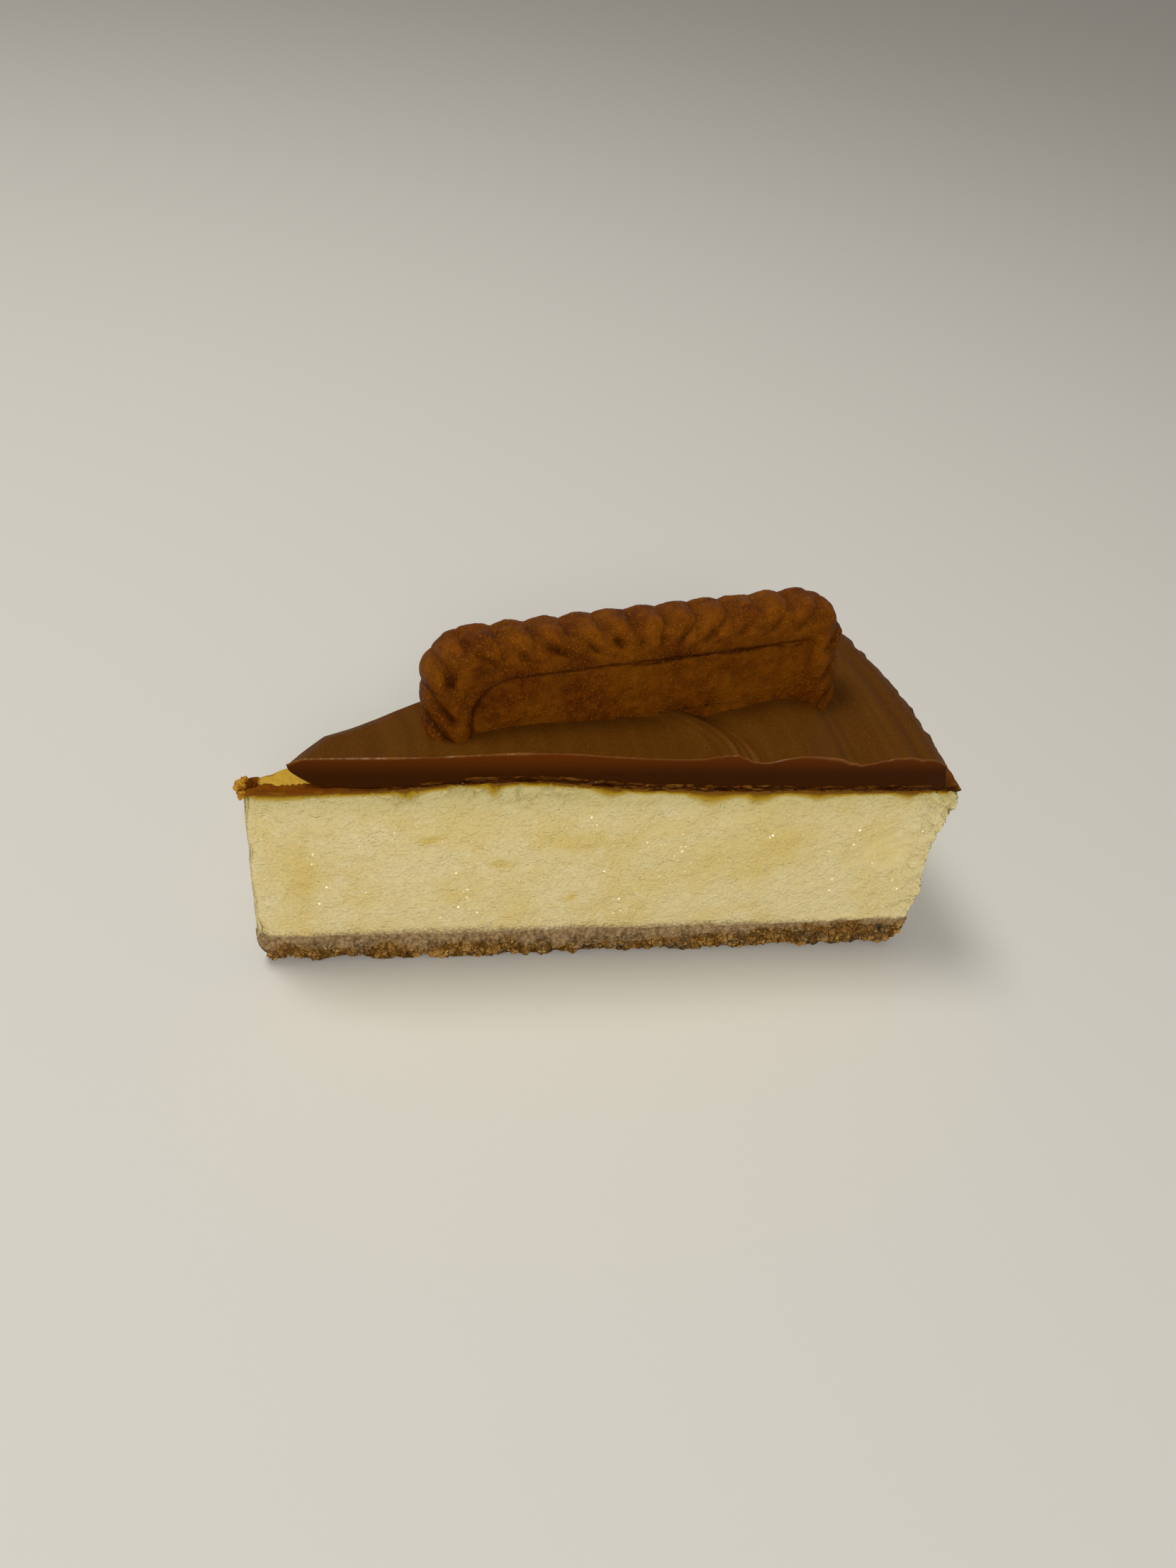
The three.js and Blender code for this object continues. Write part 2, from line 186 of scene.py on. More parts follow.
# %% Grid shells, normals and finished pieces
def block_skin(counts):
    """Each skin point's place in the block, from 0 to 1 on three axes, and the quads."""
    counts = np.array(counts)
    steps = np.indices(counts + 1).reshape(3, -1).T
    on_skin = ((steps == 0) | (steps == counts)).any(axis=1)
    number = np.full(counts + 1, -1)
    number.reshape(-1)[on_skin] = np.arange(on_skin.sum())
    quads = []
    for axis in range(3):
        sheets = np.moveaxis(number, axis, 0)
        for is_last, sheet in enumerate((sheets[0], sheets[-1])):
            corners = [sheet[:-1, :-1], sheet[1:, :-1], sheet[1:, 1:], sheet[:-1, 1:]]
            if (axis == 1) == bool(is_last):
                corners.reverse()
            quads.append(np.stack(corners, -1).reshape(-1, 4))
    return steps[on_skin] / counts, np.concatenate(quads)


def facing(points, quads):
    """The direction that the skin faces at each point."""
    first = points[quads[:, 2]] - points[quads[:, 0]]
    other = points[quads[:, 3]] - points[quads[:, 1]]
    flat = np.cross(first, other)
    total = np.zeros_like(points)
    for axis in range(3):
        for corner in range(4):
            total[:, axis] += np.bincount(quads[:, corner], flat[:, axis], len(points))
    length = np.linalg.norm(total, axis=1, keepdims=True)
    return total / np.maximum(length, 1e-12)


def bent_block(counts, shape):
    """A block's skin bent by a shape: its places, quads, points and the way they face."""
    share, quads = block_skin(counts)
    points = shape(share)
    return share, quads, points, facing(points, quads)


def make_piece(name, points, faces, masks=None):
    """A smooth mesh object in the row frame, with one stored value per point for each mask."""
    mesh = bpy.data.meshes.new(name)
    mesh.from_pydata(((points + TIP) * MM).tolist(), [], faces.tolist())
    for mask_name, values in (masks or {}).items():
        layer = mesh.attributes.new(mask_name, "FLOAT", "POINT")
        layer.data.foreach_set("value", values.astype(np.float32))
    mesh.shade_smooth()
    mesh.validate()
    piece = bpy.data.objects.new(name, mesh)
    bpy.context.scene.collection.objects.link(piece)
    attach(piece, "root")
    print(name, "has", len(faces), "faces")
    return piece


def plan_place(along, across, near, far, radius):
    """A place seen from above, between the tip edge (near to far) and the rim's arc."""
    angle = (across - 0.5) * WEDGE_ANGLE
    tip_x = near[0] + (far[0] - near[0]) * across
    tip_y = near[1] + (far[1] - near[1]) * across
    x = tip_x + (radius * np.cos(angle) - tip_x) * along
    y = tip_y + (radius * np.sin(angle) - tip_y) * along
    return x, y


def crowd_ends(share, amount):
    """Moves even steps closer together at both ends of their run."""
    return share - amount * np.sin(2 * np.pi * share) / (2 * np.pi)


print("a block skin of 2 by 2 by 2 steps has", len(block_skin((2, 2, 2))[1]), "quads")

# %% [markdown]
# ## The two surfaces between the layers
# Where the layers meet, both must follow the same uneven surface. So both heights are
# functions of the place in the cake, with the same driving sizes as the CAD model: the base
# is almost level, and the filling rises a third of the way out, where it puffed up in the
# oven. The top of the caramel isn't shared, so it comes later, with the topping's shape.

# %% Heights of the layers
BASE_HEIGHT, BASE_RISE, BASE_WAVE = 5.9, 0.5, 0.35
FILLING_HEIGHT, FILLING_WAVE = 34.6, 0.2
FILLING_CROWN, CROWN_PLACE, CROWN_WIDTH = 1.9, 36.0, 16.0


def flat_points(x, y, level):
    """Points of a plan, all at one level, so that noise on them doesn't change with height."""
    return np.stack([x, y, np.full_like(x, level)], axis=1)


def base_top(x, y):
    """The line between base and filling, a little higher at the rim."""
    rise = BASE_RISE * (np.hypot(x, y) / CAKE_RADIUS) ** 2
    return BASE_HEIGHT + rise + BASE_WAVE * lumps(flat_points(x, y, 3), 9)


def filling_top(x, y):
    """The line between filling and topping, highest a third of the way out."""
    crown = FILLING_CROWN * hump(np.hypot(x, y), CROWN_PLACE, CROWN_WIDTH)
    return FILLING_HEIGHT + crown + FILLING_WAVE * lumps(flat_points(x, y, 8), 14)


crown_height = filling_top(np.array([CROWN_PLACE]), np.array([0.0]))[0]
print("filling is", round(crown_height, 1), "mm high at its crown")

# %% [markdown]
# ## Nodes with plain helpers
# A material is a sheet of nodes. A few small helpers keep each one readable: `node` adds a node
# and fills its inputs, `maths` does a sum, `mask_between` turns a value into a soft mask, and
# `painted` lays colours over one another, each by its own mask.

# %% Node helpers
def fill(tree, made, inputs):
    """Sets each named input of a node to a value, or links it to a socket."""
    for name, value in inputs.items():
        if isinstance(value, bpy.types.NodeSocket):
            tree.links.new(value, made.inputs[name])
        else:
            made.inputs[name].default_value = value


def node(tree, kind, inputs, **settings):
    """Adds a node, sets its properties and fills its inputs."""
    made = tree.nodes.new("ShaderNode" + kind)
    for name, value in settings.items():
        setattr(made, name, value)
    fill(tree, made, inputs)
    return made


def maths(tree, operation, *values):
    """One sum of values or sockets."""
    return node(tree, "Math", dict(enumerate(values)), operation=operation).outputs[0]


def times(tree, first, *others):
    """The product of several values or sockets."""
    for other in others:
        first = maths(tree, "MULTIPLY", first, other)
    return first


def strongest(tree, first, *others):
    """The highest of several masks."""
    for other in others:
        first = maths(tree, "MAXIMUM", first, other)
    return first


def mask_between(tree, value, start, end):
    """A mask that goes smoothly from zero at start to one at end."""
    inputs = {"Value": value, "From Min": start, "From Max": end}
    return node(tree, "MapRange", inputs, interpolation_type="SMOOTHSTEP").outputs[0]


def painted(tree, below, *coats):
    """Colours laid over one another: each coat is a mask, a colour and maybe a strength."""
    for mask, over, *strength in coats:
        mask = times(tree, mask, *strength)
        below = node(tree, "Mix", {0: mask, 6: below, 7: over}, data_type="RGBA").outputs[2]
    return below


def stored(tree, name):
    """The value that the mesh stores at each point under this name."""
    return node(tree, "Attribute", {}, attribute_name=name).outputs["Fac"]


def colour(red, green, blue):
    """A colour given in the 0 to 255 numbers of a screen, as the renderer's linear light."""
    shares = [channel / 255 for channel in (red, green, blue)]
    linear = [s / 12.92 if s <= 0.04045 else ((s + 0.055) / 1.055) ** 2.4 for s in shares]
    return (*linear, 1.0)


print("a mid grey of 128 is", round(colour(128, 128, 128)[0], 3), "in linear light")

# %% [markdown]
# ## Effects that several surfaces share
# All four foods have fine grain, specks, soft patches, wrinkles or cracks, only in other sizes.
# Each effect is one node group with named inputs, built once and placed in each material with
# that food's own values. The place that they read is in millimetres, so a size of 0.4 is
# really 0.4 mm on the cake.

# %% Shared node groups
def effect_group(name, output, build, **sizes):
    """A shader node group that reads a place and named sizes, and gives one value."""
    group = bpy.data.node_groups.new(name, "ShaderNodeTree")
    sockets = group.interface
    sockets.new_socket("Place", in_out="INPUT", socket_type="NodeSocketVector")
    for size_name, default in sizes.items():
        made = sockets.new_socket(size_name, in_out="INPUT", socket_type="NodeSocketFloat")
        made.default_value = default
    sockets.new_socket(output, in_out="OUTPUT", socket_type="NodeSocketFloat")
    given = group.nodes.new("NodeGroupInput").outputs
    end = group.nodes.new("NodeGroupOutput").inputs
    group.links.new(build(group, given), end[output])
    return group


def sized_noise(group, given, detail, **extra):
    """The outputs of noise whose bumps are as large as the group's Size says."""
    scale = maths(group, "DIVIDE", 1.0, given["Size"])
    inputs = {"Vector": given["Place"], "Scale": scale, "Detail": detail, **extra}
    return node(group, "TexNoise", inputs).outputs


def fine_grain(group, given):
    """Bumps of one size with smaller ones on them, from 0 to 1."""
    return sized_noise(group, given, given["Detail"])["Fac"]


def bent_wrinkles(group, given):
    """Wrinkles from 0 to 1: noise that is pushed about by itself."""
    return sized_noise(group, given, 1.5, Distortion=given["Bend"])["Fac"]


def soft_patches(group, given):
    """A cloudy mask with a chosen share of the surface filled."""
    cloud = sized_noise(group, given, 2.0)["Fac"]
    low = maths(group, "SUBTRACT", given["Middle"], given["Softness"])
    high = maths(group, "ADD", given["Middle"], given["Softness"])
    return mask_between(group, cloud, low, high)


def specks(group, given):
    """Scattered round specks: one in each speck and zero between them."""
    scale = maths(group, "DIVIDE", 1.0, given["Spacing"])
    cells = node(group, "TexVoronoi", {"Vector": given["Place"], "Scale": scale}).outputs
    distance = times(group, cells["Distance"], given["Spacing"])
    lot = node(group, "SeparateColor", {"Color": cells["Color"]}).outputs["Red"]
    chosen = maths(group, "LESS_THAN", lot, given["Share"])
    size = times(group, given["Radius"], maths(group, "ADD", lot, 0.6))
    inside = maths(group, "DIVIDE", maths(group, "SUBTRACT", size, distance), given["Radius"])
    return times(group, mask_between(group, inside, 0.0, 0.5), chosen)


def thin_cracks(group, given):
    """Cracks round lumps of one size: one in a crack and zero on the lumps."""
    push = sized_noise(group, given, 3.0)["Color"]
    moved = {0: push, 1: given["Bend"], 2: given["Place"]}
    bent = node(group, "VectorMath", moved, operation="MULTIPLY_ADD").outputs[0]
    cells = {"Vector": bent, "Scale": maths(group, "DIVIDE", 1.0, given["Size"])}
    edge = node(group, "TexVoronoi", cells, feature="DISTANCE_TO_EDGE").outputs["Distance"]
    return mask_between(group, times(group, edge, given["Size"]), given["Width"], 0.0)


GRAIN = effect_group("Fine grain", "Height", fine_grain, Size=1.0, Detail=3.0)
SPECKS = effect_group("Specks", "Mask", specks, Spacing=2.0, Radius=0.3, Share=0.5)
PATCHES = effect_group("Soft patches", "Mask", soft_patches, Size=8.0, Middle=0.5, Softness=0.1)
WRINKLES = effect_group("Bent wrinkles", "Height", bent_wrinkles, Size=1.0, Bend=2.0)
CRACKS = effect_group("Thin cracks", "Mask", thin_cracks, Size=1.5, Width=0.1, Bend=0.5)
print("node groups:", [group.name for group in (GRAIN, SPECKS, PATCHES, WRINKLES, CRACKS)])

# %% [markdown]
# The next helpers put an effect into a material, make a material for one or more pieces, and
# measure where on the cake a point lies. Bump is given as pairs of a value and the depth in
# millimetres that it stands for.

# %% Material helpers
def effect(tree, group, place, **values):
    """Places a shared effect in a material, with this food's own values."""
    made = node(tree, "Group", {}, node_tree=group)
    fill(tree, made, {"Place": place, **values})
    return made.outputs[0]


def give_finish(name, build, *pieces):
    """Makes a material, lets a function fill its nodes, and puts it on the pieces."""
    material = bpy.data.materials.new(name)
    material.use_nodes = True
    tree = material.node_tree
    here = node(tree, "TexCoord", {}).outputs["Object"]
    to_mm = {0: here, 1: (1 / MM,) * 3, 2: tuple(-TIP)}
    place = node(tree, "VectorMath", to_mm, operation="MULTIPLY_ADD").outputs[0]
    build(tree, tree.nodes["Principled BSDF"], place)
    for piece in pieces:
        piece.data.materials.append(material)
    print("finish", name, "has", len(tree.nodes), "nodes")
    return material


def set_shader(tree, shader, **inputs):
    """Fills inputs of the shader; an underscore in a name stands for a space."""
    fill(tree, shader, {name.replace("_", " "): value for name, value in inputs.items()})


def relief(tree, shader, *heights):
    """Bump from pairs of a height value and how many millimetres it stands for."""
    total = 0.0
    for height, depth in heights:
        total = maths(tree, "MULTIPLY_ADD", height, depth, total)
    bump = node(tree, "Bump", {"Height": total, "Distance": MM})
    tree.links.new(bump.outputs[0], shader.inputs["Normal"])


def stretched(tree, place, stretch):
    """The place stretched on its three axes, for marks longer one way."""
    inputs = {"Vector": place, "Scale": stretch}
    return node(tree, "Mapping", inputs, vector_type="TEXTURE").outputs[0]


def between(tree, value, low, high):
    """A value from 0 to 1 turned into one from low to high."""
    return node(tree, "MapRange", {"Value": value, "To Min": low, "To Max": high}).outputs[0]


def radius_node(tree, place):
    """Distance of the place from the middle of the whole cake, as a socket."""
    flat = node(tree, "VectorMath", {0: place, 1: (1, 1, 0)}, operation="MULTIPLY").outputs[0]
    return node(tree, "VectorMath", {0: flat}, operation="LENGTH").outputs["Value"]


def height_node(tree, place):
    """Height of the place above the underside, as a socket."""
    return node(tree, "SeparateXYZ", {"Vector": place}).outputs["Z"]


print("finishes measure places in mm from the point at", [round(v, 2) for v in TIP])

# %% [markdown]
# ## The crumb base
# Crushed biscuit bound with butter is pressed flat. The knife smears its upper part into a
# fine grey-brown paste, while the lower part breaks into golden crumbs with dark gaps, and the
# lower edge stays ragged. A plain block with bump would do for a smooth base, but here the
# broken edge shows in the outline, so the crumbs are pushed out of the mesh itself: fine above,
# coarse below, and coarser towards the rim. The mesh also stores how deep each point lies in
# a gap, and the finish paints shade there.

# %% Base: shape
BASE_GRID = (560, 34, 40)
FINE_GRAIN, MIDDLE_GRAIN, COARSE_GRAIN = 0.8, 0.75, 1.5
FINE_DEPTH, MIDDLE_DEPTH, COARSE_DEPTH, HOLLOW_DEPTH = 0.16, 0.3, 0.6, 0.35
CHUNK_SHAPE, LAYER_SHAPE = (0.6, 0.6, 1.0), (0.4, 0.4, 1.3)
COARSE_BELOW, FINE_ABOVE = 1.9, 4.2
COARSE_CLIMB, CLIMB_START, CLIMB_END = 2.4, 50, 92
RAGGED_LIFT, RAGGED_WIDTH = 1.4, 1.6
TIP_NEAR, TIP_FAR = (0.0, -TIP_WIDTH / 2), (0.0, TIP_WIDTH / 2)
RIM_OVERHANG, RIM_WEAR = 0.5, 1.8
TIP_ROUNDING, ROUNDED_LENGTH = 2.0, 8


def base_shape(share):
    """Base points: flat below, worn at the rim, its lower edge lifted here and there."""
    along, across, up = crowd_ends(share[:, 0], 0.3), crowd_ends(share[:, 1], 0.8), share[:, 2]
    worn = CAKE_RADIUS + RIM_OVERHANG - RIM_WEAR * (1 - up) ** 3
    x, y = plan_place(along, across, TIP_NEAR, TIP_FAR, worn)
    points = np.stack([x, y, up * base_top(x, y)], axis=1)
    points[:, 0] += TIP_ROUNDING * (1 - up) ** 2.2 * (1 - ease(x, 0, ROUNDED_LENGTH))
    inside = np.minimum(behind_cut(points), behind_far_cut(points))
    inside = np.minimum(inside, CAKE_RADIUS - radius_of(points))
    edge = 1 - ease(inside, 0, RAGGED_WIDTH)
    ragged = np.clip(0.45 + 0.75 * lumps(points * (1, 1, 0), 3.2, 2.4, 3), 0, 1)
    points[:, 2] += RAGGED_LIFT * ragged * edge * (1 - up) ** 2
    return points


def base_relief(points):
    """How far each point stands out, its painted shade in gaps, and how coarse it is there."""
    climb = COARSE_CLIMB * ease(along_cut(points), CLIMB_START, CLIMB_END)
    level = points[:, 2] - climb + 1.5 * lumps(points, 5, 1.1, 3)
    coarse = 1 - ease(level, COARSE_BELOW, FINE_ABOVE)
    _, fine_gap = pebbles(points, FINE_GRAIN, 0.3)
    middle, grain_gap = pebbles(points, MIDDLE_GRAIN, 6.1)
    _, coarse_gap = pebbles(pushed_about(points, 1.6, 0.5) * CHUNK_SHAPE, COARSE_GRAIN, 7.9)
    layers = np.abs(lumps(points * LAYER_SHAPE, 1.5, 2.2, 3))
    crack = np.maximum(1 - ease(coarse_gap, 0.03, 0.3), 1 - ease(layers, 0.03, 0.28))
    hollow = ease(-lumps(points, 3.4, 5.5, 2), 0.35, 1.0)
    inside = np.minimum(behind_cut(points), behind_far_cut(points))
    on_cut = 1 - 0.85 * ease(inside, 0.8, 3)
    height = on_cut * FINE_DEPTH * (ease(fine_gap, 0, 0.5) - 0.7) * (1 + coarse)
    height += coarse * (COARSE_DEPTH * (0.35 - crack) - HOLLOW_DEPTH * hollow)
    height += MIDDLE_DEPTH * coarse * (0.4 - middle)
    height += (0.1 + 0.15 * coarse) * lumps(points, 2, 3.3, 4)
    # painted shade: how dark the gaps and cracks are painted
    shaded_gap = coarse * (0.65 * crack + 0.15 * hollow) + 0.3 * on_cut * (1 - ease(fine_gap, 0, 0.2))
    shaded_gap += 0.2 * coarse * (1 - ease(grain_gap, 0, 0.3))
    return height, np.clip(shaded_gap, 0, 1), coarse


_, base_quads, base_points, base_out = bent_block(BASE_GRID, base_shape)
base_height, base_shaded_gap, base_coarse = base_relief(base_points)
on_wall = np.clip(1 - np.abs(base_out[:, 2:3]) ** 2, 0.15, 1)
base_points = base_points + base_out * base_height[:, None] * on_wall
base_points[:, 2] = np.maximum(base_points[:, 2], 0)
base_masks = {"shaded_gap": base_shaded_gap, "coarse": base_coarse}
crumb_base = make_piece("base_of_crumbs", base_points, base_quads, base_masks)
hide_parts("crumb_base")

# %% [markdown]
# The base has two tones, greyish brown paste above and golden crumbs below, with painted
# shade in its gaps. One noise for both would look like stone. So each tone gets its own grain,
# and thin cracks of painted shade are drawn mostly where the mesh says that the crumb is
# coarse. It is matt all over.

# %% Base: finish
PASTE, PASTE_DARK = colour(196, 164, 118), colour(140, 110, 72)
PASTE_DOT = colour(220, 196, 152)
CRUMB_GOLD, CRUMB_BROWN = colour(236, 188, 104), colour(180, 126, 50)
GAP_SHADE_DARK = colour(54, 24, 1)


def crumb_finish(tree, shader, place):
    """Smeared paste above and broken crumb below, with dots, and painted shade in cracks and gaps.
    """
    fine = effect(tree, GRAIN, place, Size=0.22)
    middling = effect(tree, GRAIN, stretched(tree, place, (1.0, 1.0, 1.8)), Size=0.6)
    broad = effect(tree, GRAIN, place, Size=1.6)
    dots = effect(tree, SPECKS, place, Spacing=0.7, Radius=0.16, Share=0.45)
    flecks = effect(tree, SPECKS, place, Spacing=0.9, Radius=0.22, Share=0.4)
    paste = painted(
        tree, PASTE_DARK,
        (mask_between(tree, middling, 0.34, 0.62), PASTE),
        (mask_between(tree, fine, 0.58, 0.42), PASTE_DARK, 0.4),
    )
    golden = painted(
        tree, CRUMB_BROWN,
        (mask_between(tree, broad, 0.4, 0.6), CRUMB_GOLD),
        (mask_between(tree, fine, 0.6, 0.4), CRUMB_BROWN),
    )
    coarse = stored(tree, "coarse")
    in_places = mask_between(tree, effect(tree, GRAIN, place, Size=4.0), 0.3, 0.52)
    wide = effect(tree, CRACKS, place, Size=1.7, Width=0.15, Bend=1.5)
    thin = effect(tree, CRACKS, place, Size=0.8, Width=0.1, Bend=0.9)
    few = effect(tree, PATCHES, place, Size=2.2, Middle=0.52, Softness=0.06)
    low = mask_between(tree, height_node(tree, place), 5.8, 3.2)
    torn_up = strongest(tree, coarse, times(tree, few, low, 0.8))
    cracks = times(tree, strongest(tree, wide, times(tree, thin, few)), torn_up)
    # painted shade in the cracks and gaps
    painted_shade = strongest(tree, cracks, times(tree, thin, few, 0.35), stored(tree, "shaded_gap"))
    tone = painted(
        tree, paste,
        (times(tree, coarse, in_places), golden),
        (flecks, CRUMB_BROWN, 0.5),
        (dots, PASTE_DOT, 0.6),
        (painted_shade, GAP_SHADE_DARK, 0.7),
    )
    set_shader(tree, shader, Base_Color=tone, Roughness=0.8, Specular_IOR_Level=0.12)
    relief(tree, shader, (fine, 0.24), (broad, 0.2), (cracks, -0.3))


give_finish("pressed crumb", crumb_finish, crumb_base)

# %% [markdown]
# ## The cream cheese filling
# The knife leaves two nearly flat faces with shallow waves. Close to the topping the cream
# tears into small flakes, the outer side is crumbly and full of fissures, and the point of
# the slice has lost a few bits. Sculpting by hand would give one good side only. The same
# kind of block skin with relief from functions finishes every side alike. The mesh stores how
# torn each point is, because torn cream is paler and rougher than cut cream.

# %% Filling: shape
FILLING_GRID = (356, 38, 90)
RIM_INSET = 0.7
RIM_BELLY, RIM_SHOULDER = 1.5, 1.1
WAVE_DEPTH, RIPPLE_DEPTH = 0.12, 0.05
FLAKE_DEPTH, FLAKY_PLACE, FLAKY_WIDTH = 0.62, 30, 17
FISSURE_DEPTH, CRUMBLE_DEPTH = 0.55, 0.18
TORN_RIM_START, TORN_RIM_END = 91, 98
TIP_WEAR, TIP_DENT, BASE_SMEAR = 0.65, 0.45, 0.28
SOAKED_PLACES = (
    (21.7, 1.4), (32.8, 1.2), (49, 1.8), (64, 3.0), (71, 2.2), (80, 2.4), (93.5, 1.6),
)
YOLK_SPOTS = (
    (7, 17, 2.3, 9, 0.45), (25.4, 25.2, 1.5, 0.8, 0.75), (35, 21, 1.7, 1.2, 0.7),
    (47, 25, 6, 1.8, 0.4), (76, 25, 9, 6, 0.35), (60, 20, 12, 7, 0.25),
    (29, 13.5, 3, 2, 0.3), (45.6, 12.9, 1, 1, 0.8),
)
SMOOTH_SPOT = (94, 22.3, 4.2, 4.0)


def filling_shape(share):
    """Filling points between the base and the topping, with a bellied outer side."""
    crowding = (0.25, 0.6, 0.5)
    along, across, up = (crowd_ends(share[:, i], crowding[i]) for i in range(3))
    belly = RIM_BELLY * hump(up, 0.2, 0.2) + RIM_SHOULDER * hump(up, 0.88, 0.18)
    x, y = plan_place(along, across, TIP_NEAR, TIP_FAR, CAKE_RADIUS - RIM_INSET + belly)
    bottom, top = base_top(x, y) - 0.3, filling_top(x, y)
    return np.stack([x, y, bottom + (top - bottom) * up], axis=1)


def filling_relief(points):
    """How far each point stands out, how torn it is, and the shade painted in its creases."""
    ruler, radius, level = along_cut(points), radius_of(points), points[:, 2]
    depth = filling_top(points[:, 0], points[:, 1]) - level
    near_top = 1 - ease(depth + 1.4 * lumps(points, 6, 2.7), 1.0, 5.5)
    worn_radius = radius + 1.6 * lumps(points, 6, 4.2) - 0.14 * depth
    rim = ease(worn_radius, TORN_RIM_START, TORN_RIM_END)
    tip = 1 - ease(radius + 0.8 * lumps(points, 4, 9.1), 0.8, 3)
    flaky = near_top * (0.25 + 0.75 * hump(ruler, FLAKY_PLACE, FLAKY_WIDTH)) * ease(radius, 5, 10)
    torn = np.clip(flaky + rim + 0.8 * tip, 0, 1)
    curls = np.abs(lumps(pushed_about(points, 2.4, 1.3) * (0.8, 0.8, 1.2), 2.6, 6.6, 2))
    crumbly, _ = pebbles(points, 1.9, 5.1)
    cracks = np.abs(lumps(points, 3.4, 8.3, 4))
    height = WAVE_DEPTH * lumps(points, 15, 1.7, 2) + RIPPLE_DEPTH * lumps(points, 2.2, 0.9)
    crease = np.clip(flaky + 0.5 * rim, 0, 1) * (1 - ease(curls, 0, 0.24))
    on_cut = 1 - 0.8 * ease(np.minimum(behind_cut(points), behind_far_cut(points)), 2, 6)
    upper = 0.2 + 0.8 * ease(level, 20, 27)
    fissure = on_cut * rim * upper * (1 - ease(cracks, 0, 0.3))
    height -= FLAKE_DEPTH * crease + FISSURE_DEPTH * fissure
    height -= CRUMBLE_DEPTH * rim * (crumbly - 0.3)
    edge = 1 - ease(radius, 0.9, 2.4)
    receding = 0.35 + 0.4 * ease(level, 12, 30)
    height += TIP_WEAR * edge * (lumps(points * (1, 1, 0.8), 4.2, 3.7, 2) - receding)
    height -= TIP_DENT * hump(ruler, 2.6, 1.1) * hump(level, 30.2, 1.3)
    above_base = level - base_top(points[:, 0], points[:, 1]) - 0.3 * lumps(points, 3, 5.2)
    at_ends = 1 - ease(ruler, 8, 11) + ease(ruler, 80, 88)
    height += BASE_SMEAR * hump(above_base, 0.5, 0.5) * at_ends
    return height, torn, np.clip(flaky * crease + 0.3 * fissure, 0, 1)


def soaked_caramel(points):
    """How much caramel soaked into the cream under the skin, deeper in a few places."""
    ruler, flat = along_cut(points), points * (1, 1, 0)
    depth = filling_top(points[:, 0], points[:, 1]) - points[:, 2]
    reach = 0.35 + 0.3 * lumps(flat, 3.3, 6.4, 2) + 1.0 * hump(ruler, 4, 6)
    for place, width in SOAKED_PLACES:
        wandering = ruler + 0.5 * lumps(points, 2, 4.4, 2)
        reach += (2.1 + 0.7 * math.sin(place)) * hump(wandering, place, width)
    return 1 - ease(depth, 0.3, 1.1 + np.clip(reach, 0.1, 4))


def egg_yellow(points):
    """Soft egg yellow spots in the cream: place along, height, two widths, strength."""
    ruler = along_cut(points) + lumps(points, 5, 2.1, 2)
    level = points[:, 2] + lumps(points, 5, 8.7, 2)
    total = np.zeros(len(points))
    for along, high, wide, tall, strength in YOLK_SPOTS:
        total += strength * hump(ruler, along, wide) * hump(level, high, tall)
    return np.clip(total, 0, 1)


def smooth_spot(points):
    """Where the knife left the cream quite smooth."""
    along, high, wide, tall = SMOOTH_SPOT
    spot = hump(along_cut(points), along, wide) * hump(points[:, 2], high, tall)
    return ease(spot, 0.2, 0.6)


_, filling_quads, filling_points, filling_out = bent_block(FILLING_GRID, filling_shape)
filling_height, filling_torn, filling_crease_shade = filling_relief(filling_points)
filling_points = filling_points + filling_out * filling_height[:, None]
# the crease mask holds painted shade for the creases of flakes and fissures
filling_masks = {
    "torn": filling_torn, "crease": filling_crease_shade, "smooth": smooth_spot(filling_points),
    "soaked": soaked_caramel(filling_points), "yolk": egg_yellow(filling_points),
}
filling = make_piece("filling_of_cream", filling_points, filling_quads,
                     filling_masks)
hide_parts("cheesecake_filling")

# %% [markdown]
# Cream lets a little light in, so the shader has some subsurface light. Its colour is never
# even: soft yellow patches, caramel that soaked down from above in amber stains, grey-brown
# crumbs dragged up from the base and a few dark specks. Painted shade lies in its creases and
# in a band below the topping, and painted highlights sit on its fine grains. Each is a coat of
# colour with a mask: places that were measured on the slice come from the mesh, the rest from
# the shared groups.
# The knife's wrinkles are less than a millimetre apart. They are too fine for this mesh, so
# they are bump, and the shine changes with them.

# %% Filling: finish
CREAM, CREAM_YELLOW = colour(238, 219, 162), colour(234, 210, 140)
CREAM_TORN, CREAM_SHADED_TOP = colour(238, 223, 168), colour(206, 192, 126)
CREAM_YOLK, CREAM_PALE_AND_HIGHLIGHT = colour(222, 190, 84), colour(247, 236, 190)
CREAM_CREASE_SHADE = colour(164, 146, 84)
AMBER_SOFT, AMBER_STAIN = colour(184, 146, 16), colour(122, 76, 1)
SMEARED_CRUMB, DARK_SPECK = colour(158, 132, 96), colour(96, 62, 28)
CREAM_SHINE = (1.0, 0.82, 0.5, 1.0)
SHADED_BAND = (FILLING_HEIGHT - 6.5, FILLING_HEIGHT + 0.5)
RIM_BAND = (CAKE_RADIUS - 5, CAKE_RADIUS - 2)


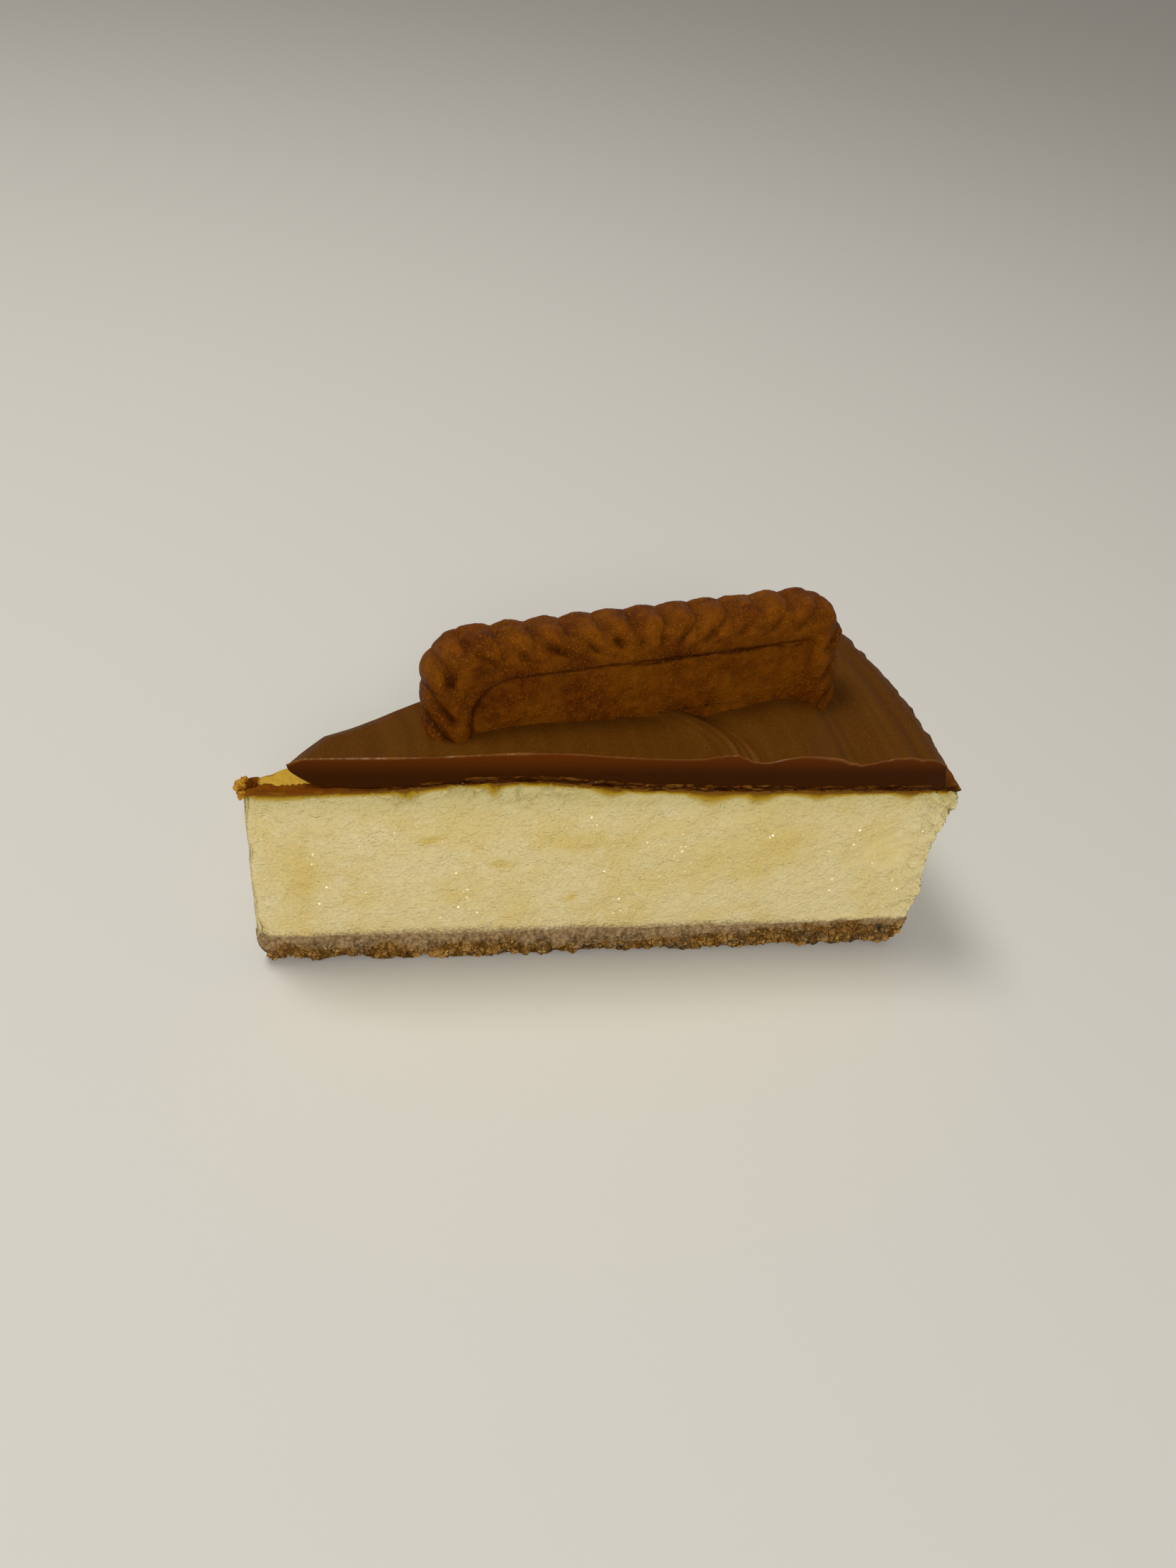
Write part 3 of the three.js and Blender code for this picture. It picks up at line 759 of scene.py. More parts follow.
def cream_finish(tree, shader, place):
    """Cream with painted highlights on its grains, stains from above and smeared crumbs from below.
    """
    level = height_node(tree, place)
    stipple = effect(tree, GRAIN, place, Size=0.42, Detail=1.0)
    wrinkles = effect(tree, WRINKLES, stretched(tree, place, (1.2, 1.2, 1.0)), Size=1.0, Bend=1.6)
    dents = effect(tree, GRAIN, place, Size=2.6, Detail=2.0)
    soaked, torn = stored(tree, "soaked"), stored(tree, "torn")
    uneven = maths(tree, "MULTIPLY_ADD", dents, -1.4, level)
    rise = maths(tree, "MULTIPLY_ADD", stipple, -3.0, uneven)
    crumbs = maths(tree, "SUBTRACT", 1.0, mask_between(tree, rise, 3.4, 5.2))
    tone = painted(
        tree, CREAM,
        (effect(tree, PATCHES, place, Size=8.0, Middle=0.5, Softness=0.16), CREAM_YELLOW),
        (torn, CREAM_TORN, 0.5),
        (effect(tree, PATCHES, place, Size=2.4, Middle=0.64, Softness=0.1), CREAM_PALE_AND_HIGHLIGHT, 0.4),
        # painted highlight: the tops of the fine grains are lightened
        (mask_between(tree, stipple, 0.56, 0.72), CREAM_PALE_AND_HIGHLIGHT, 0.5),
        # painted shade: a darker band below the topping
        (mask_between(tree, level, *SHADED_BAND), CREAM_SHADED_TOP, 0.7),
        (stored(tree, "yolk"), CREAM_YOLK),
        # painted shade: darker in the creases of the flakes and fissures
        (stored(tree, "crease"), CREAM_CREASE_SHADE, 0.6),
        (effect(tree, SPECKS, place, Spacing=6.0, Radius=0.2, Share=0.1), DARK_SPECK, 0.7),
        (mask_between(tree, soaked, 0.0, 0.8), AMBER_SOFT),
        (mask_between(tree, soaked, 0.68, 1.0), AMBER_STAIN),
        (crumbs, SMEARED_CRUMB, 0.9),
    )
    set_shader(
        tree, shader, Base_Color=tone, Roughness=between(tree, wrinkles, 0.3, 0.6),
        Subsurface_Weight=0.15, Subsurface_Radius=(1.0, 0.8, 0.4), Subsurface_Scale=0.6 * MM,
        Specular_IOR_Level=0.16, Specular_Tint=CREAM_SHINE,
    )
    on_rim = mask_between(tree, radius_node(tree, place), *RIM_BAND)
    crumbling = times(tree, effect(tree, WRINKLES, place, Size=1.9, Bend=1.0), on_rim, torn)
    rough = maths(tree, "SUBTRACT", 1.0, stored(tree, "smooth"))
    fine_marks = (times(tree, wrinkles, rough), 0.32), (times(tree, stipple, rough), 0.28)
    relief(tree, shader, *fine_marks, (dents, 0.8), (crumbling, 0.8))


give_finish("cream cheese filling", cream_finish, filling)

# %% [markdown]
# ## The baked skin
# Baking browns the top of the filling to a thin leathery skin, and the caramel was spread over
# it. The slice shows it as a flaky brown line all round, as a ledge outside the caramel at the
# rim, and at the tip, where the caramel stops short, as a glossy torn strip with the
# yellow inside of the cake showing through. Painted on the filling it would have no edge. So it
# is a thin block skin of its own, laid over the filling, with strands pushed out at its sides.

# %% Skin: shape
SKIN_GRID = (600, 34, 16)
SKIN_ABOVE, SKIN_BELOW = 0.8, 0.42
SKIN_THIN_SHARE, SKIN_THIN_PLACE, SKIN_THIN_WIDTH = 0.85, 17.5, 6.5
STRAND_SHAPE, STRAND_SIZE, STRAND_DEPTH = (0.2, 0.2, 1.4), 0.62, 0.42
FOOT_DEPTH = 0.34
TORN_PATCH_START, TORN_PATCH_END, TORN_PATCH_DEPTH = 1.7, 9.0, 0.25


def skin_shape(share):
    """Skin points: a thin sheet over the filling, thicker at the tip."""
    along, across, up = share[:, 0], crowd_ends(share[:, 1], 0.5), share[:, 2]
    x, y = plan_place(along, across, TIP_NEAR, TIP_FAR, CAKE_RADIUS - RIM_INSET - 0.1)
    radius = np.hypot(x, y)
    at_tip = hump(radius, 0, 7)
    full = 1 - SKIN_THIN_SHARE * hump(radius, SKIN_THIN_PLACE, SKIN_THIN_WIDTH)
    wander = 0.12 * lumps(flat_points(x, y, 2), 2.4, 5.8, 3)
    middle = filling_top(x, y)
    bottom = middle - SKIN_BELOW * full * ease(radius, -16, 24) - 0.6 * at_tip
    bottom += wander * (1 + at_tip)
    top = middle + SKIN_ABOVE * full * ease(radius, -20, 26) + 0.25 * at_tip + wander
    points = np.stack([x, y, bottom + (top - bottom) * up], axis=1)
    points[:, 0] -= 0.8 * hump(radius, 0, 1.6) * up
    return points


def skin_relief(points, up):
    """Strands that stand out round the sides and the torn patch, with masks that paint shade and
    highlights.
    """
    ruler, depth, radius = along_cut(points), behind_cut(points), radius_of(points)
    flaky = ease(radius, 15, 24) * (1 - 0.6 * ease(radius, 98.5, 100.3))
    strands = lumps(pushed_about(points, 3.0, 0.35) * STRAND_SHAPE, STRAND_SIZE, 4.4, 3)
    middle = ease(up, 0.12, 0.36) * (1 - 0.6 * ease(up, 0.85, 1))
    # painted shade: the gaps between strands, also sunk into the mesh
    shaded_gap = flaky * middle * (1 - ease(np.abs(strands + 0.12), 0.08, 0.36))
    # painted highlight: raised strands and the upper edge are lightened
    highlit_strand = flaky * middle * ease(np.abs(strands), 0.5, 0.9) + 0.3 * flaky * hump(up, 1, 0.12)
    height = 0.14 - STRAND_DEPTH * shaded_gap + 0.12 * highlit_strand + 0.1 * lumps(points, 1.9, 3.8)
    height -= FOOT_DEPTH * (1 - ease(up, 0, 0.3))
    ticks = points * (1, 0, 0)
    teeth = 0.5 * np.abs(bump_layer(ticks, 0.7, 1.9)) + 0.35 * np.abs(lumps(ticks, 1.9, 2.2, 2))
    torn = ease(depth - teeth, 0.55, 0.75)
    torn = torn * ease(ruler, TORN_PATCH_START, TORN_PATCH_START + 0.4)
    torn = torn * (1 - ease(ruler, TORN_PATCH_END, TORN_PATCH_END + 0.5)) * ease(up, 0.5, 0.9)
    tip = 1 - ease(radius, 9, 22)
    height += tip * (0.18 * lumps(points, 1.4, 6.1, 2) - TORN_PATCH_DEPTH * torn)
    return height, {"torn": torn, "shaded_gap": shaded_gap, "tip": tip, "highlit_strand": np.clip(highlit_strand, 0, 1)}


skin_share, skin_quads, skin_points, skin_out = bent_block(SKIN_GRID, skin_shape)
skin_up = skin_share[:, 2]
skin_height, skin_masks = skin_relief(skin_points, skin_up)
skin_points = skin_points + skin_out * skin_height[:, None]
skin_masks.update(top=ease(skin_up, 0.35, 1), foot=1 - ease(skin_up, 0, 0.4))
upright_share = 1 - np.abs(skin_out[:, 2])
skin_masks["side"] = upright_share * ease(skin_up, 0, 0.4) * (1 - skin_masks["tip"])
baked_skin = make_piece("baked_skin", skin_points, skin_quads, skin_masks)

# %% [markdown]
# The skin is amber brown with an egg yellow torn patch. Painted shade makes its crevices and
# slits near black, and painted highlights lighten its raised strands. The masks for that are
# stored by the mesh, so colour and shape always agree. Its mirror light gets a brown tint,
# because white light on dark brown would turn it grey.

# %% Skin: finish
SKIN_BROWN, SKIN_AMBER = colour(98, 48, 1), colour(154, 92, 3)
SKIN_DARK, SKIN_FLAKE_HIGHLIGHT = colour(84, 40, 2), colour(134, 88, 26)
SKIN_TORN, SKIN_CREVICE_SHADE = colour(192, 152, 52), colour(36, 10, 1)
SKIN_STRIP, SKIN_FOOT = colour(124, 62, 1), colour(142, 86, 1)
BROWN_SHINE = (1.0, 0.66, 0.34, 1.0)
EGG_GLOW = {"Subsurface_Radius": (1.0, 0.5, 0.1), "Subsurface_Scale": 0.8 * MM}


def skin_finish(tree, shader, place):
    """Flaky strands with painted shade and highlights, a glossy strip at the tip and its torn
    patch.
    """
    mottle = effect(tree, GRAIN, place, Size=1.4)
    fine = effect(tree, GRAIN, place, Size=0.3)
    upright = stretched(tree, place, (3.2, 3.2, 0.6))
    slits = effect(tree, CRACKS, upright, Size=0.7, Width=0.13, Bend=0.5)
    # painted shade: slits on the sides and the gaps between strands are near black
    line = strongest(tree, times(tree, stored(tree, "side"), slits, 0.8), stored(tree, "shaded_gap"))
    glossy = painted(
        tree, SKIN_STRIP,
        (mask_between(tree, mottle, 0.42, 0.72), SKIN_FOOT),
        (stored(tree, "top"), SKIN_BROWN, 0.5),
    )
    torn = painted(tree, SKIN_TORN, (mask_between(tree, fine, 0.55, 0.85), SKIN_AMBER))
    tone = painted(
        tree, SKIN_DARK,
        (mask_between(tree, mottle, 0.45, 0.75), SKIN_BROWN),
        # painted highlight on the raised strands
        (stored(tree, "highlit_strand"), SKIN_FLAKE_HIGHLIGHT),
        (stored(tree, "tip"), glossy),
        (stored(tree, "foot"), SKIN_FOOT),
        (line, SKIN_CREVICE_SHADE),
        (stored(tree, "torn"), torn),
    )
    set_shader(
        tree, shader, Base_Color=tone, Roughness=0.5, Subsurface_Weight=0.06, **EGG_GLOW,
        Specular_IOR_Level=0.06, Specular_Tint=BROWN_SHINE, Coat_Roughness=0.2,
        Coat_Weight=times(tree, mask_between(tree, fine, 0.62, 0.7), 0.6),
    )
    relief(tree, shader, (fine, 0.1), (mottle, 0.2), (line, -0.15))


SKIN_FINISH = give_finish("baked skin", skin_finish, baked_skin)

# %% [markdown]
# ## The caramel topping
# Soft caramel was poured on and spread with a turning spatula. It ends in a rounded nose before
# the tip, undercut below, where it sagged over the skin. On its top the spatula left a lip
# that curves in from the near edge, and a bundle of fine arcs near the rim. These are soft
# humps of the distance from the cake's middle, which is how a spatula on a turning cake makes
# them. The cuts are smooth, with a thin raised burr along the top edge. Painted highlights lie
# along that edge and on the lip's crests.

# %% Topping: shape
TOPPING_GRID = (460, 84, 14)
NOSE_NEAR, NOSE_FAR = (5.6, -1.95), (11.4, 2.7)
NOSE_UNDERCUT, NOSE_BULGE = 5.5, 0.3
SHOULDER_DROP, SHOULDER_WIDTH, SHOULDER_START, SHOULDER_END = 1.2, 2.4, 14, 30
BURR_HEIGHT, BURR_WIDTH = 0.22, 0.14
TOP_CROWDING = 1.8
RIM_SLOPE, RIM_DROP, NIBBLE_DEPTH = 1.3, 1.3, 0.34
TOPPING_HEIGHT, TOPPING_RADIUS = 40.4, 97.9
TOPPING_CROWN, TOPPING_CROWN_PLACE, TOPPING_CROWN_WIDTH = 0.9, 38, 13
LIP_START, LIP_CURL, LIP_RISE, LIP_DIP = 67.8, 0.064, 0.95, 0.7
LIP_LINES = (0.8, -0.6, -2.3, -3.6)
LINE_DEPTH, LINE_WIDTH = 0.24, 0.5
ARC_RADII = (83.2, 85.0, 86.8, 88.7, 90.6, 93.5)
ARC_DEPTH, ARC_WIDTH = 0.3, 0.6
TOP_WAVES = ((0.5, 76.5, 3.2), (-0.8, 85, 2.6), (0.3, 91, 2.4))


def lip_offset(plan):
    """Distance of a place outside the lip's foot, which curls in from the near edge."""
    turned = np.degrees(np.arctan2(plan[:, 1], plan[:, 0]) + WEDGE_ANGLE / 2)
    return radius_of(plan) - LIP_START + LIP_CURL * np.clip(turned, 0, None) ** 2


def topping_top(x, y):
    """Height of the spread caramel over a place in the cake."""
    plan = flat_points(x, y, 5.5)
    radius = radius_of(plan)
    lip = lip_offset(plan)
    near_face = 1 - ease(np.degrees(np.arctan2(y, x)), -4, 6)
    drift = 0.5 * lumps(plan, 16, 3.1, 2)
    height = TOPPING_HEIGHT + TOPPING_CROWN * hump(radius, TOPPING_CROWN_PLACE, TOPPING_CROWN_WIDTH)
    height += (LIP_RISE * hump(lip, -2.4, 2.6) - LIP_DIP * hump(lip, 2.6, 2.3)) * near_face
    for line in LIP_LINES:
        height -= LINE_DEPTH * hump(lip + 0.4 * drift, line, LINE_WIDTH) * near_face
    height += sum(rise * hump(radius, place, width) for rise, place, width in TOP_WAVES)
    for arc in ARC_RADII:
        uneven = 0.6 + 0.5 * lumps(plan, 9, arc, 1)
        height -= ARC_DEPTH * hump(radius + drift, arc, ARC_WIDTH) * uneven
    height += 0.2 * lumps(plan, 12, 9.7, 2) - RIM_DROP * hump(radius, TOPPING_RADIUS + 0.6, 1.6)
    return height


def topping_shape(share):
    """Topping points between the skin and the spread top."""
    along, across = crowd_ends(share[:, 0], 0.2), crowd_ends(share[:, 1], 0.86)
    up = 1 - (1 - share[:, 2]) ** TOP_CROWDING
    undercut = NOSE_UNDERCUT * (1 - up) ** 2.2
    forward = undercut - NOSE_BULGE * np.sin(np.pi * across)
    slope = undercut * math.tan(WEDGE_ANGLE / 2)
    near = (NOSE_NEAR[0] + forward, NOSE_NEAR[1] - slope)
    far = (NOSE_FAR[0] + forward, NOSE_FAR[1] + slope)
    x, y = plan_place(along, across, near, far, TOPPING_RADIUS + RIM_SLOPE * (1 - up))
    bottom, top = filling_top(x, y) + 0.1, topping_top(x, y)
    points = np.stack([x, y, bottom + (top - bottom) * up], axis=1)
    from_far = behind_far_cut(points) - 0.6
    from_nose = (x - NOSE_NEAR[0]) * 0.63 - (y - NOSE_NEAR[1]) * 0.78
    poured = np.minimum(from_far, from_nose)
    shoulder = 1 - ease(poured, -0.6, SHOULDER_WIDTH)
    shoulder = shoulder * (1 - ease(x, SHOULDER_START, SHOULDER_END))
    points[:, 2] -= SHOULDER_DROP * shoulder**1.5 * up**2
    return points


def topping_relief(points, share):
    """Burr, nibbled rim and soft waves, with masks for the knife's cut and painted highlights."""
    depth = np.minimum(behind_cut(points), behind_far_cut(points))
    up = ease(share[:, 2], 0.8, 1)
    wavy = 0.6 + 0.5 * lumps(points, 4, 8.2, 3)
    burr = BURR_HEIGHT * np.clip(wavy, 0.1, 1.2) * hump(depth, 0.12, BURR_WIDTH) * up
    rim = ease(share[:, 0], 0.985, 1)
    bitten = 0.3 + 0.7 * hump(share[:, 1], 0.5, 0.28)
    nibbles = rim * bitten * NIBBLE_DEPTH * lumps(points * (1, 1, 0.3), 1.5, 6.4, 3)
    height = burr + nibbles + 0.05 * lumps(points, 6, 2.2) + 0.02 * lumps(points, 1.5, 7.7)
    is_cut = ((share[:, 1] == 0) | (share[:, 1] == 1)) & (share[:, 2] < 1)
    plan = flat_points(points[:, 0], points[:, 1], 5.5)
    lip = lip_offset(points) + 0.2 * lumps(plan, 16, 3.1, 2)
    # painted highlight: pale lines on the lip's crests and along the top edge
    crests = sum(hump(lip, line + 0.75, 0.4) for line in LIP_LINES[:3])
    patchy = ease(lumps(points, 6, 1.4, 2), -1.2, 0.3) * (1 - ease(behind_cut(points), 5, 10))
    along_edge = hump(depth, 0.08, 0.1) * up * np.clip(wavy, 0.5, 1)
    crest_highlight = np.clip(0.6 * crests * patchy * up + along_edge, 0, 1)
    return height, {"cut": is_cut.astype(float), "crest_highlight": crest_highlight}


topping_share, topping_quads, topping_points, topping_out = bent_block(TOPPING_GRID, topping_shape)
topping_height, topping_masks = topping_relief(topping_points, topping_share)
topping_points = topping_points + topping_out * topping_height[:, None]
topping = make_piece("topping_of_caramel", topping_points, topping_quads,
                     topping_masks)
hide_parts("caramel_topping")

# %% [markdown]
# Caramel is dark and even. The spread top is satin, with very fine streaks that follow the
# spatula round the cake: noise whose first axis is the distance from the middle gives them
# without a texture map. The cut is darker and smoother, with painted light near its top, where
# it is lighter and redder.

# %% Topping: finish
CARAMEL_TOP, CARAMEL_PALE = colour(82, 45, 6), colour(94, 56, 10)
CARAMEL_GRAIN = colour(112, 70, 20)
CARAMEL_CUT, CARAMEL_CUT_LIT = colour(58, 25, 0), colour(98, 43, 0)
CARAMEL_CREST_HIGHLIGHT = colour(136, 84, 36)
STREAK_DRAW = 0.04
CUT_LIT_BAND = (37.5, 41.3)


def caramel_finish(tree, shader, place):
    """Satin streaks round the cake on the top, and a smooth darker cut with painted light near its
    top.
    """
    level, radius = height_node(tree, place), radius_node(tree, place)
    lane = node(tree, "CombineXYZ", {"X": radius}).outputs[0]
    drawn_out = {0: place, 1: (STREAK_DRAW,) * 3, 2: lane}
    along_arc = node(tree, "VectorMath", drawn_out, operation="MULTIPLY_ADD").outputs[0]
    streaks = effect(tree, GRAIN, along_arc, Size=2.4, Detail=3.0)
    mottle = effect(tree, GRAIN, place, Size=0.5)
    grain = effect(tree, GRAIN, place, Size=0.25)
    crest_highlight = stored(tree, "crest_highlight")
    # painted light: the cut is lighter and redder near its top
    cut = painted(tree, CARAMEL_CUT, (mask_between(tree, level, *CUT_LIT_BAND), CARAMEL_CUT_LIT))
    tone = painted(
        tree, CARAMEL_TOP,
        (mask_between(tree, streaks, 0.25, 0.8), CARAMEL_PALE),
        (effect(tree, PATCHES, place, Size=12.0, Middle=0.5, Softness=0.2), CARAMEL_TOP, 0.4),
        (mask_between(tree, grain, 0.5, 0.7), CARAMEL_GRAIN, 0.5),
        (stored(tree, "cut"), cut),
        # painted highlight on the crests and the cut's top edge
        (crest_highlight, CARAMEL_CREST_HIGHLIGHT, 0.7),
    )
    set_shader(
        tree, shader, Base_Color=tone, Roughness=between(tree, mottle, 0.4, 0.55),
        Specular_IOR_Level=0.05, Specular_Tint=BROWN_SHINE, Coat_Roughness=0.15,
        Coat_Weight=times(tree, crest_highlight, mask_between(tree, mottle, 0.45, 0.6), 0.8),
    )
    relief(tree, shader, (streaks, 0.03), (mottle, 0.05), (grain, 0.1))


give_finish("spread caramel", caramel_finish, topping)

# %% [markdown]
# ## The pressed biscuit
# A stamped biscuit has a sunk panel inside a raised rim, and the stamp's teeth leave lobes
# round its edge and slanted grooves on the rim. Cutting the grooves with a boolean would leave
# sharp and uneven faces. So the mesh is rings round a rounded rectangle, from the middle of
# the back, over the edge, to the middle of the front, with 16 points for each lobe.

# %% Biscuit: outline and rings
BISCUIT_LENGTH, BISCUIT_WIDTH, BISCUIT_THICKNESS = 62.0, 29.5, 8.0
BISCUIT_CORNER = 7.0
RIM_LOBES, SAMPLES_PER_LOBE = 36, 16
LOBE_DEPTH = 0.95
EDGE_SECTION = [
    (2.2, 0.0), (1.0, 0.25), (0.2, 1.3), (0.0, 3.0),
    (0.05, 4.8), (0.6, 6.5), (1.7, 7.5), (2.8, 7.85),
]
RINGS_PER_STEP = 4
FRONT_INSETS = np.concatenate([np.arange(3.0, 5.0, 0.25), np.arange(5.0, 7.0, 0.13)])
PANEL_RINGS = 22


def rounded_outline(samples):
    """Points round a rectangle: the centre of the nearest corner arc and the way out."""
    straight = np.array([BISCUIT_LENGTH, BISCUIT_WIDTH]) - 2 * BISCUIT_CORNER
    arc = math.pi / 2 * BISCUIT_CORNER
    travel = np.arange(samples) / samples * 2 * (straight.sum() + 2 * arc)
    centre, outward = np.zeros((samples, 2)), np.zeros((samples, 2))
    signs = [(1, -1), (1, 1), (-1, 1), (-1, -1), (1, -1)]
    start = 0.0
    for side in range(4):
        run = straight[1 - side % 2]
        first, last = (np.array(signs[side + i]) * straight / 2 for i in (0, 1))
        share = np.clip((travel - start) / run, 0, 1)[:, None]
        turned = np.clip((travel - start - run) / BISCUIT_CORNER, 0, math.pi / 2)
        angle = side * math.pi / 2 + turned
        here = travel >= start
        centre[here] = (first + (last - first) * share)[here]
        outward[here] = np.stack([np.cos(angle), np.sin(angle)], 1)[here]
        start += run + arc
    return centre, outward


def smooth_section(section, steps):
    """A smooth curve through a few section points."""
    knots = np.array([section[0], *section, section[-1]])
    curve = []
    for i in range(1, len(knots) - 2):
        before, here, there, after = knots[i - 1 : i + 3]
        for t in np.arange(steps) / steps:
            bend = (2 * before - 5 * here + 4 * there - after) * t**2
            twist = (3 * here - before - 3 * there + after) * t**3
            curve.append((2 * here + (there - before) * t + bend + twist) / 2)
    return np.array(curve)


outline_centre, outline_out = rounded_outline(RIM_LOBES * SAMPLES_PER_LOBE)
lobe_place = np.arange(len(outline_centre)) / SAMPLES_PER_LOBE
print("biscuit outline has", len(outline_centre), "points")

# %% [markdown]
# The front's relief is written as heights over the flat biscuit: the rounded rim, its slanted
# grooves, the step down to the panel, a crack along the panel's edge and many small pits. The
# heights are a function of the place, so the panel may have its own corners, two wide ones on
# the left and two tight ones on the right. The groove of each tooth bites more or less deep.

# %% Biscuit: relief and mesh
PANEL_HALF = np.array([BISCUIT_LENGTH / 2 - 6.0, BISCUIT_WIDTH / 2 - 6.0])
PANEL_HEIGHT = 6.4
GROOVE_DEPTH, GROOVE_RUN = 1.0, 4.4
WIDE_CORNER, TIGHT_CORNER = 6.0, 0.8
CRACK_START, CRACK_END = -3.0, 23.5
CREASE_DEPTH, CRACK_DEPTH = 0.2, 0.5
CROWN_INSETS, CROWN_HEIGHTS = [2.8, 3.6, 5.0, 7.0], [7.85, 8.0, 7.75, 7.6]
TOOTH_BITE = np.random.default_rng(31).uniform(0, 1, RIM_LOBES)
DEEPEST_BITE = 1.15
PANEL_SIDE_SLOPE = 0.6


def panel_distance(plan):
    """Distance to the edge of the sunk panel: negative inside, positive on the rim."""
    corner = np.where(plan[:, 0] < 0, WIDE_CORNER, TIGHT_CORNER)
    beyond = np.abs(plan[:, :2]) - PANEL_HALF + corner[:, None]
    outside = np.linalg.norm(np.maximum(beyond, 0), axis=1)
    return outside + np.minimum(beyond.max(axis=1), 0) - corner


def front_height(plan, inset):
    """Height of the biscuit's front without its grooves, and the shade painted in its crease, step
    and crack.
    """
    spot = np.column_stack([plan, np.zeros(len(plan))])
    crown = np.interp(inset, CROWN_INSETS, CROWN_HEIGHTS)
    edge = panel_distance(plan)
    slope = PANEL_SIDE_SLOPE + 0.5 * ease(plan[:, 0], 20, 24)
    height = PANEL_HEIGHT + (crown - PANEL_HEIGHT) * ease(edge, -slope, slope)
    crease = hump(edge, -0.35, 0.3) * (1 - 0.7 * ease(plan[:, 0], 22, 25))
    shade = hump(edge, 0.3, 0.75) * (1 - 0.6 * ease(plan[:, 0], 22, 25))
    across_line = spot * (1, 0, 0)
    wander = PANEL_HALF[1] - 0.8 + 0.4 * lumps(across_line, 3.1, 8.8, 4)
    reach = ease(plan[:, 0], CRACK_START, CRACK_START + 2)
    reach = reach * (1 - ease(plan[:, 0], CRACK_END, CRACK_END + 1))
    width = 0.1 + 0.16 * np.clip(lumps(across_line, 2.2, 4.9, 2) + 0.2, 0, 1)
    crack = reach * hump(plan[:, 1], wander, width)
    painted_shade = np.clip(0.35 * crease + 0.6 * shade + 1.5 * crack, 0, 1)
    return height - CREASE_DEPTH * crease - CRACK_DEPTH * crack, painted_shade


def groove_depth(plan, inset, lobe, strength):
    """Grooves of the stamp's teeth: they slant towards the middle and fade at the panel."""
    spot = np.column_stack([plan, np.zeros(len(plan))])
    side = np.clip(plan[:, 0] / 6, -1, 1)
    slant = side * (np.abs(outline_out[:, 0]) - np.abs(outline_out[:, 1]))
    drift = 0.12 * lumps(spot, 4, 2.5, 2) * ease(inset, 0, 2)
    turned = lobe + slant * inset / GROOVE_RUN + drift
    valley = 1 - np.abs(np.sin(np.pi * turned)) ** 0.5
    tooth = TOOTH_BITE[np.round(turned).astype(int) % RIM_LOBES]
    left_end = 1 - ease(plan[:, 0], -29, -24)
    bite = 0.55 + (0.35 + 0.7 * tooth) * hump(inset, 2.9, 1.2)
    bite = bite + 0.9 * left_end * hump(inset, 2.6, 2.2)
    uneven = np.clip(0.85 + 0.5 * lumps(spot, 3.4, 6.2, 2) * ease(inset, 0.8, 2.5), 0.35, 1.3)
    depth = np.minimum(valley * strength * bite * uneven, DEEPEST_BITE)
    return depth * ease(panel_distance(plan), 0.6, 2.2)


CRUST_BUMPS, CRUST_GRAIN, PIT_DEPTH = 0.16, 0.07, 0.22


def crust_bumps(points, shift):
    """Fine uneven crust with small pits, and how much shade is painted in each pit."""
    middle, _ = pebbles(points, 1.5, shift)
    shaded_pit = (1 - ease(middle, 0.1, 0.3)) * ease(lumps(points, 5, shift + 4, 2), -0.3, 0.5)
    height = CRUST_BUMPS * lumps(points, 2.4, shift, 3)
    return height + CRUST_GRAIN * lumps(points, 0.8, shift + 2, 2) - PIT_DEPTH * shaded_pit, shaded_pit


def flat_ring(plan, height=0.0):
    """A ring of points at one height."""
    return np.column_stack([plan, np.full(len(plan), height)])


def biscuit_rings():
    """Rings of points from the back's middle over the edge to the front's middle."""
    shrink = np.linspace(0.02, 1, PANEL_RINGS)
    lobe_valley = 1 - np.abs(np.sin(np.pi * lobe_place)) ** 0.8
    half_ridge = (BISCUIT_LENGTH - BISCUIT_WIDTH) / 2
    ridge_x = np.clip(outline_centre[:, 0], -half_ridge, half_ridge)
    ridge = np.column_stack([ridge_x, 0 * lobe_place])
    inner = outline_centre + outline_out * (BISCUIT_CORNER - FRONT_INSETS[-1])
    inner_plans = [ridge + (inner - ridge) * share for share in shrink]
    inset_plans = [
        outline_centre + outline_out * (BISCUIT_CORNER - inset) for inset in FRONT_INSETS
    ]
    rings = [flat_ring(plan) for plan in [*inner_plans[:-1], *inset_plans[::-2]]]
    shaded_gaps = [0 * lobe_place for _ in rings]
    grooves = list(shaded_gaps)
    for inset, height in smooth_section(EDGE_SECTION, RINGS_PER_STEP):
        bulge = LOBE_DEPTH * lobe_valley * hump(height, 4.0, 3.6)
        plan = outline_centre + outline_out * (BISCUIT_CORNER - inset - bulge)[:, None]
        rings.append(flat_ring(plan, height))
        # painted shade in the valleys between the lobes
        shaded_gaps.append(0.45 * lobe_valley * hump(height, 4.5, 3.0))
        grooves.append(groove_depth(plan, inset, lobe_place, ease(height, 3.0, 7.0)))
    front_insets = [*FRONT_INSETS, *([FRONT_INSETS[-1]] * (PANEL_RINGS - 1))]
    for plan, inset in zip([*inset_plans, *inner_plans[-2::-1]], front_insets):
        height, shaded_gap = front_height(plan, np.full(len(plan), inset))
        rings.append(np.column_stack([plan, height]))
        shaded_gaps.append(shaded_gap)
        grooves.append(groove_depth(plan, inset, lobe_place, 1 - ease(inset, 3.0, 4.9)))
    return np.array(rings), np.concatenate(shaded_gaps), np.concatenate(grooves)


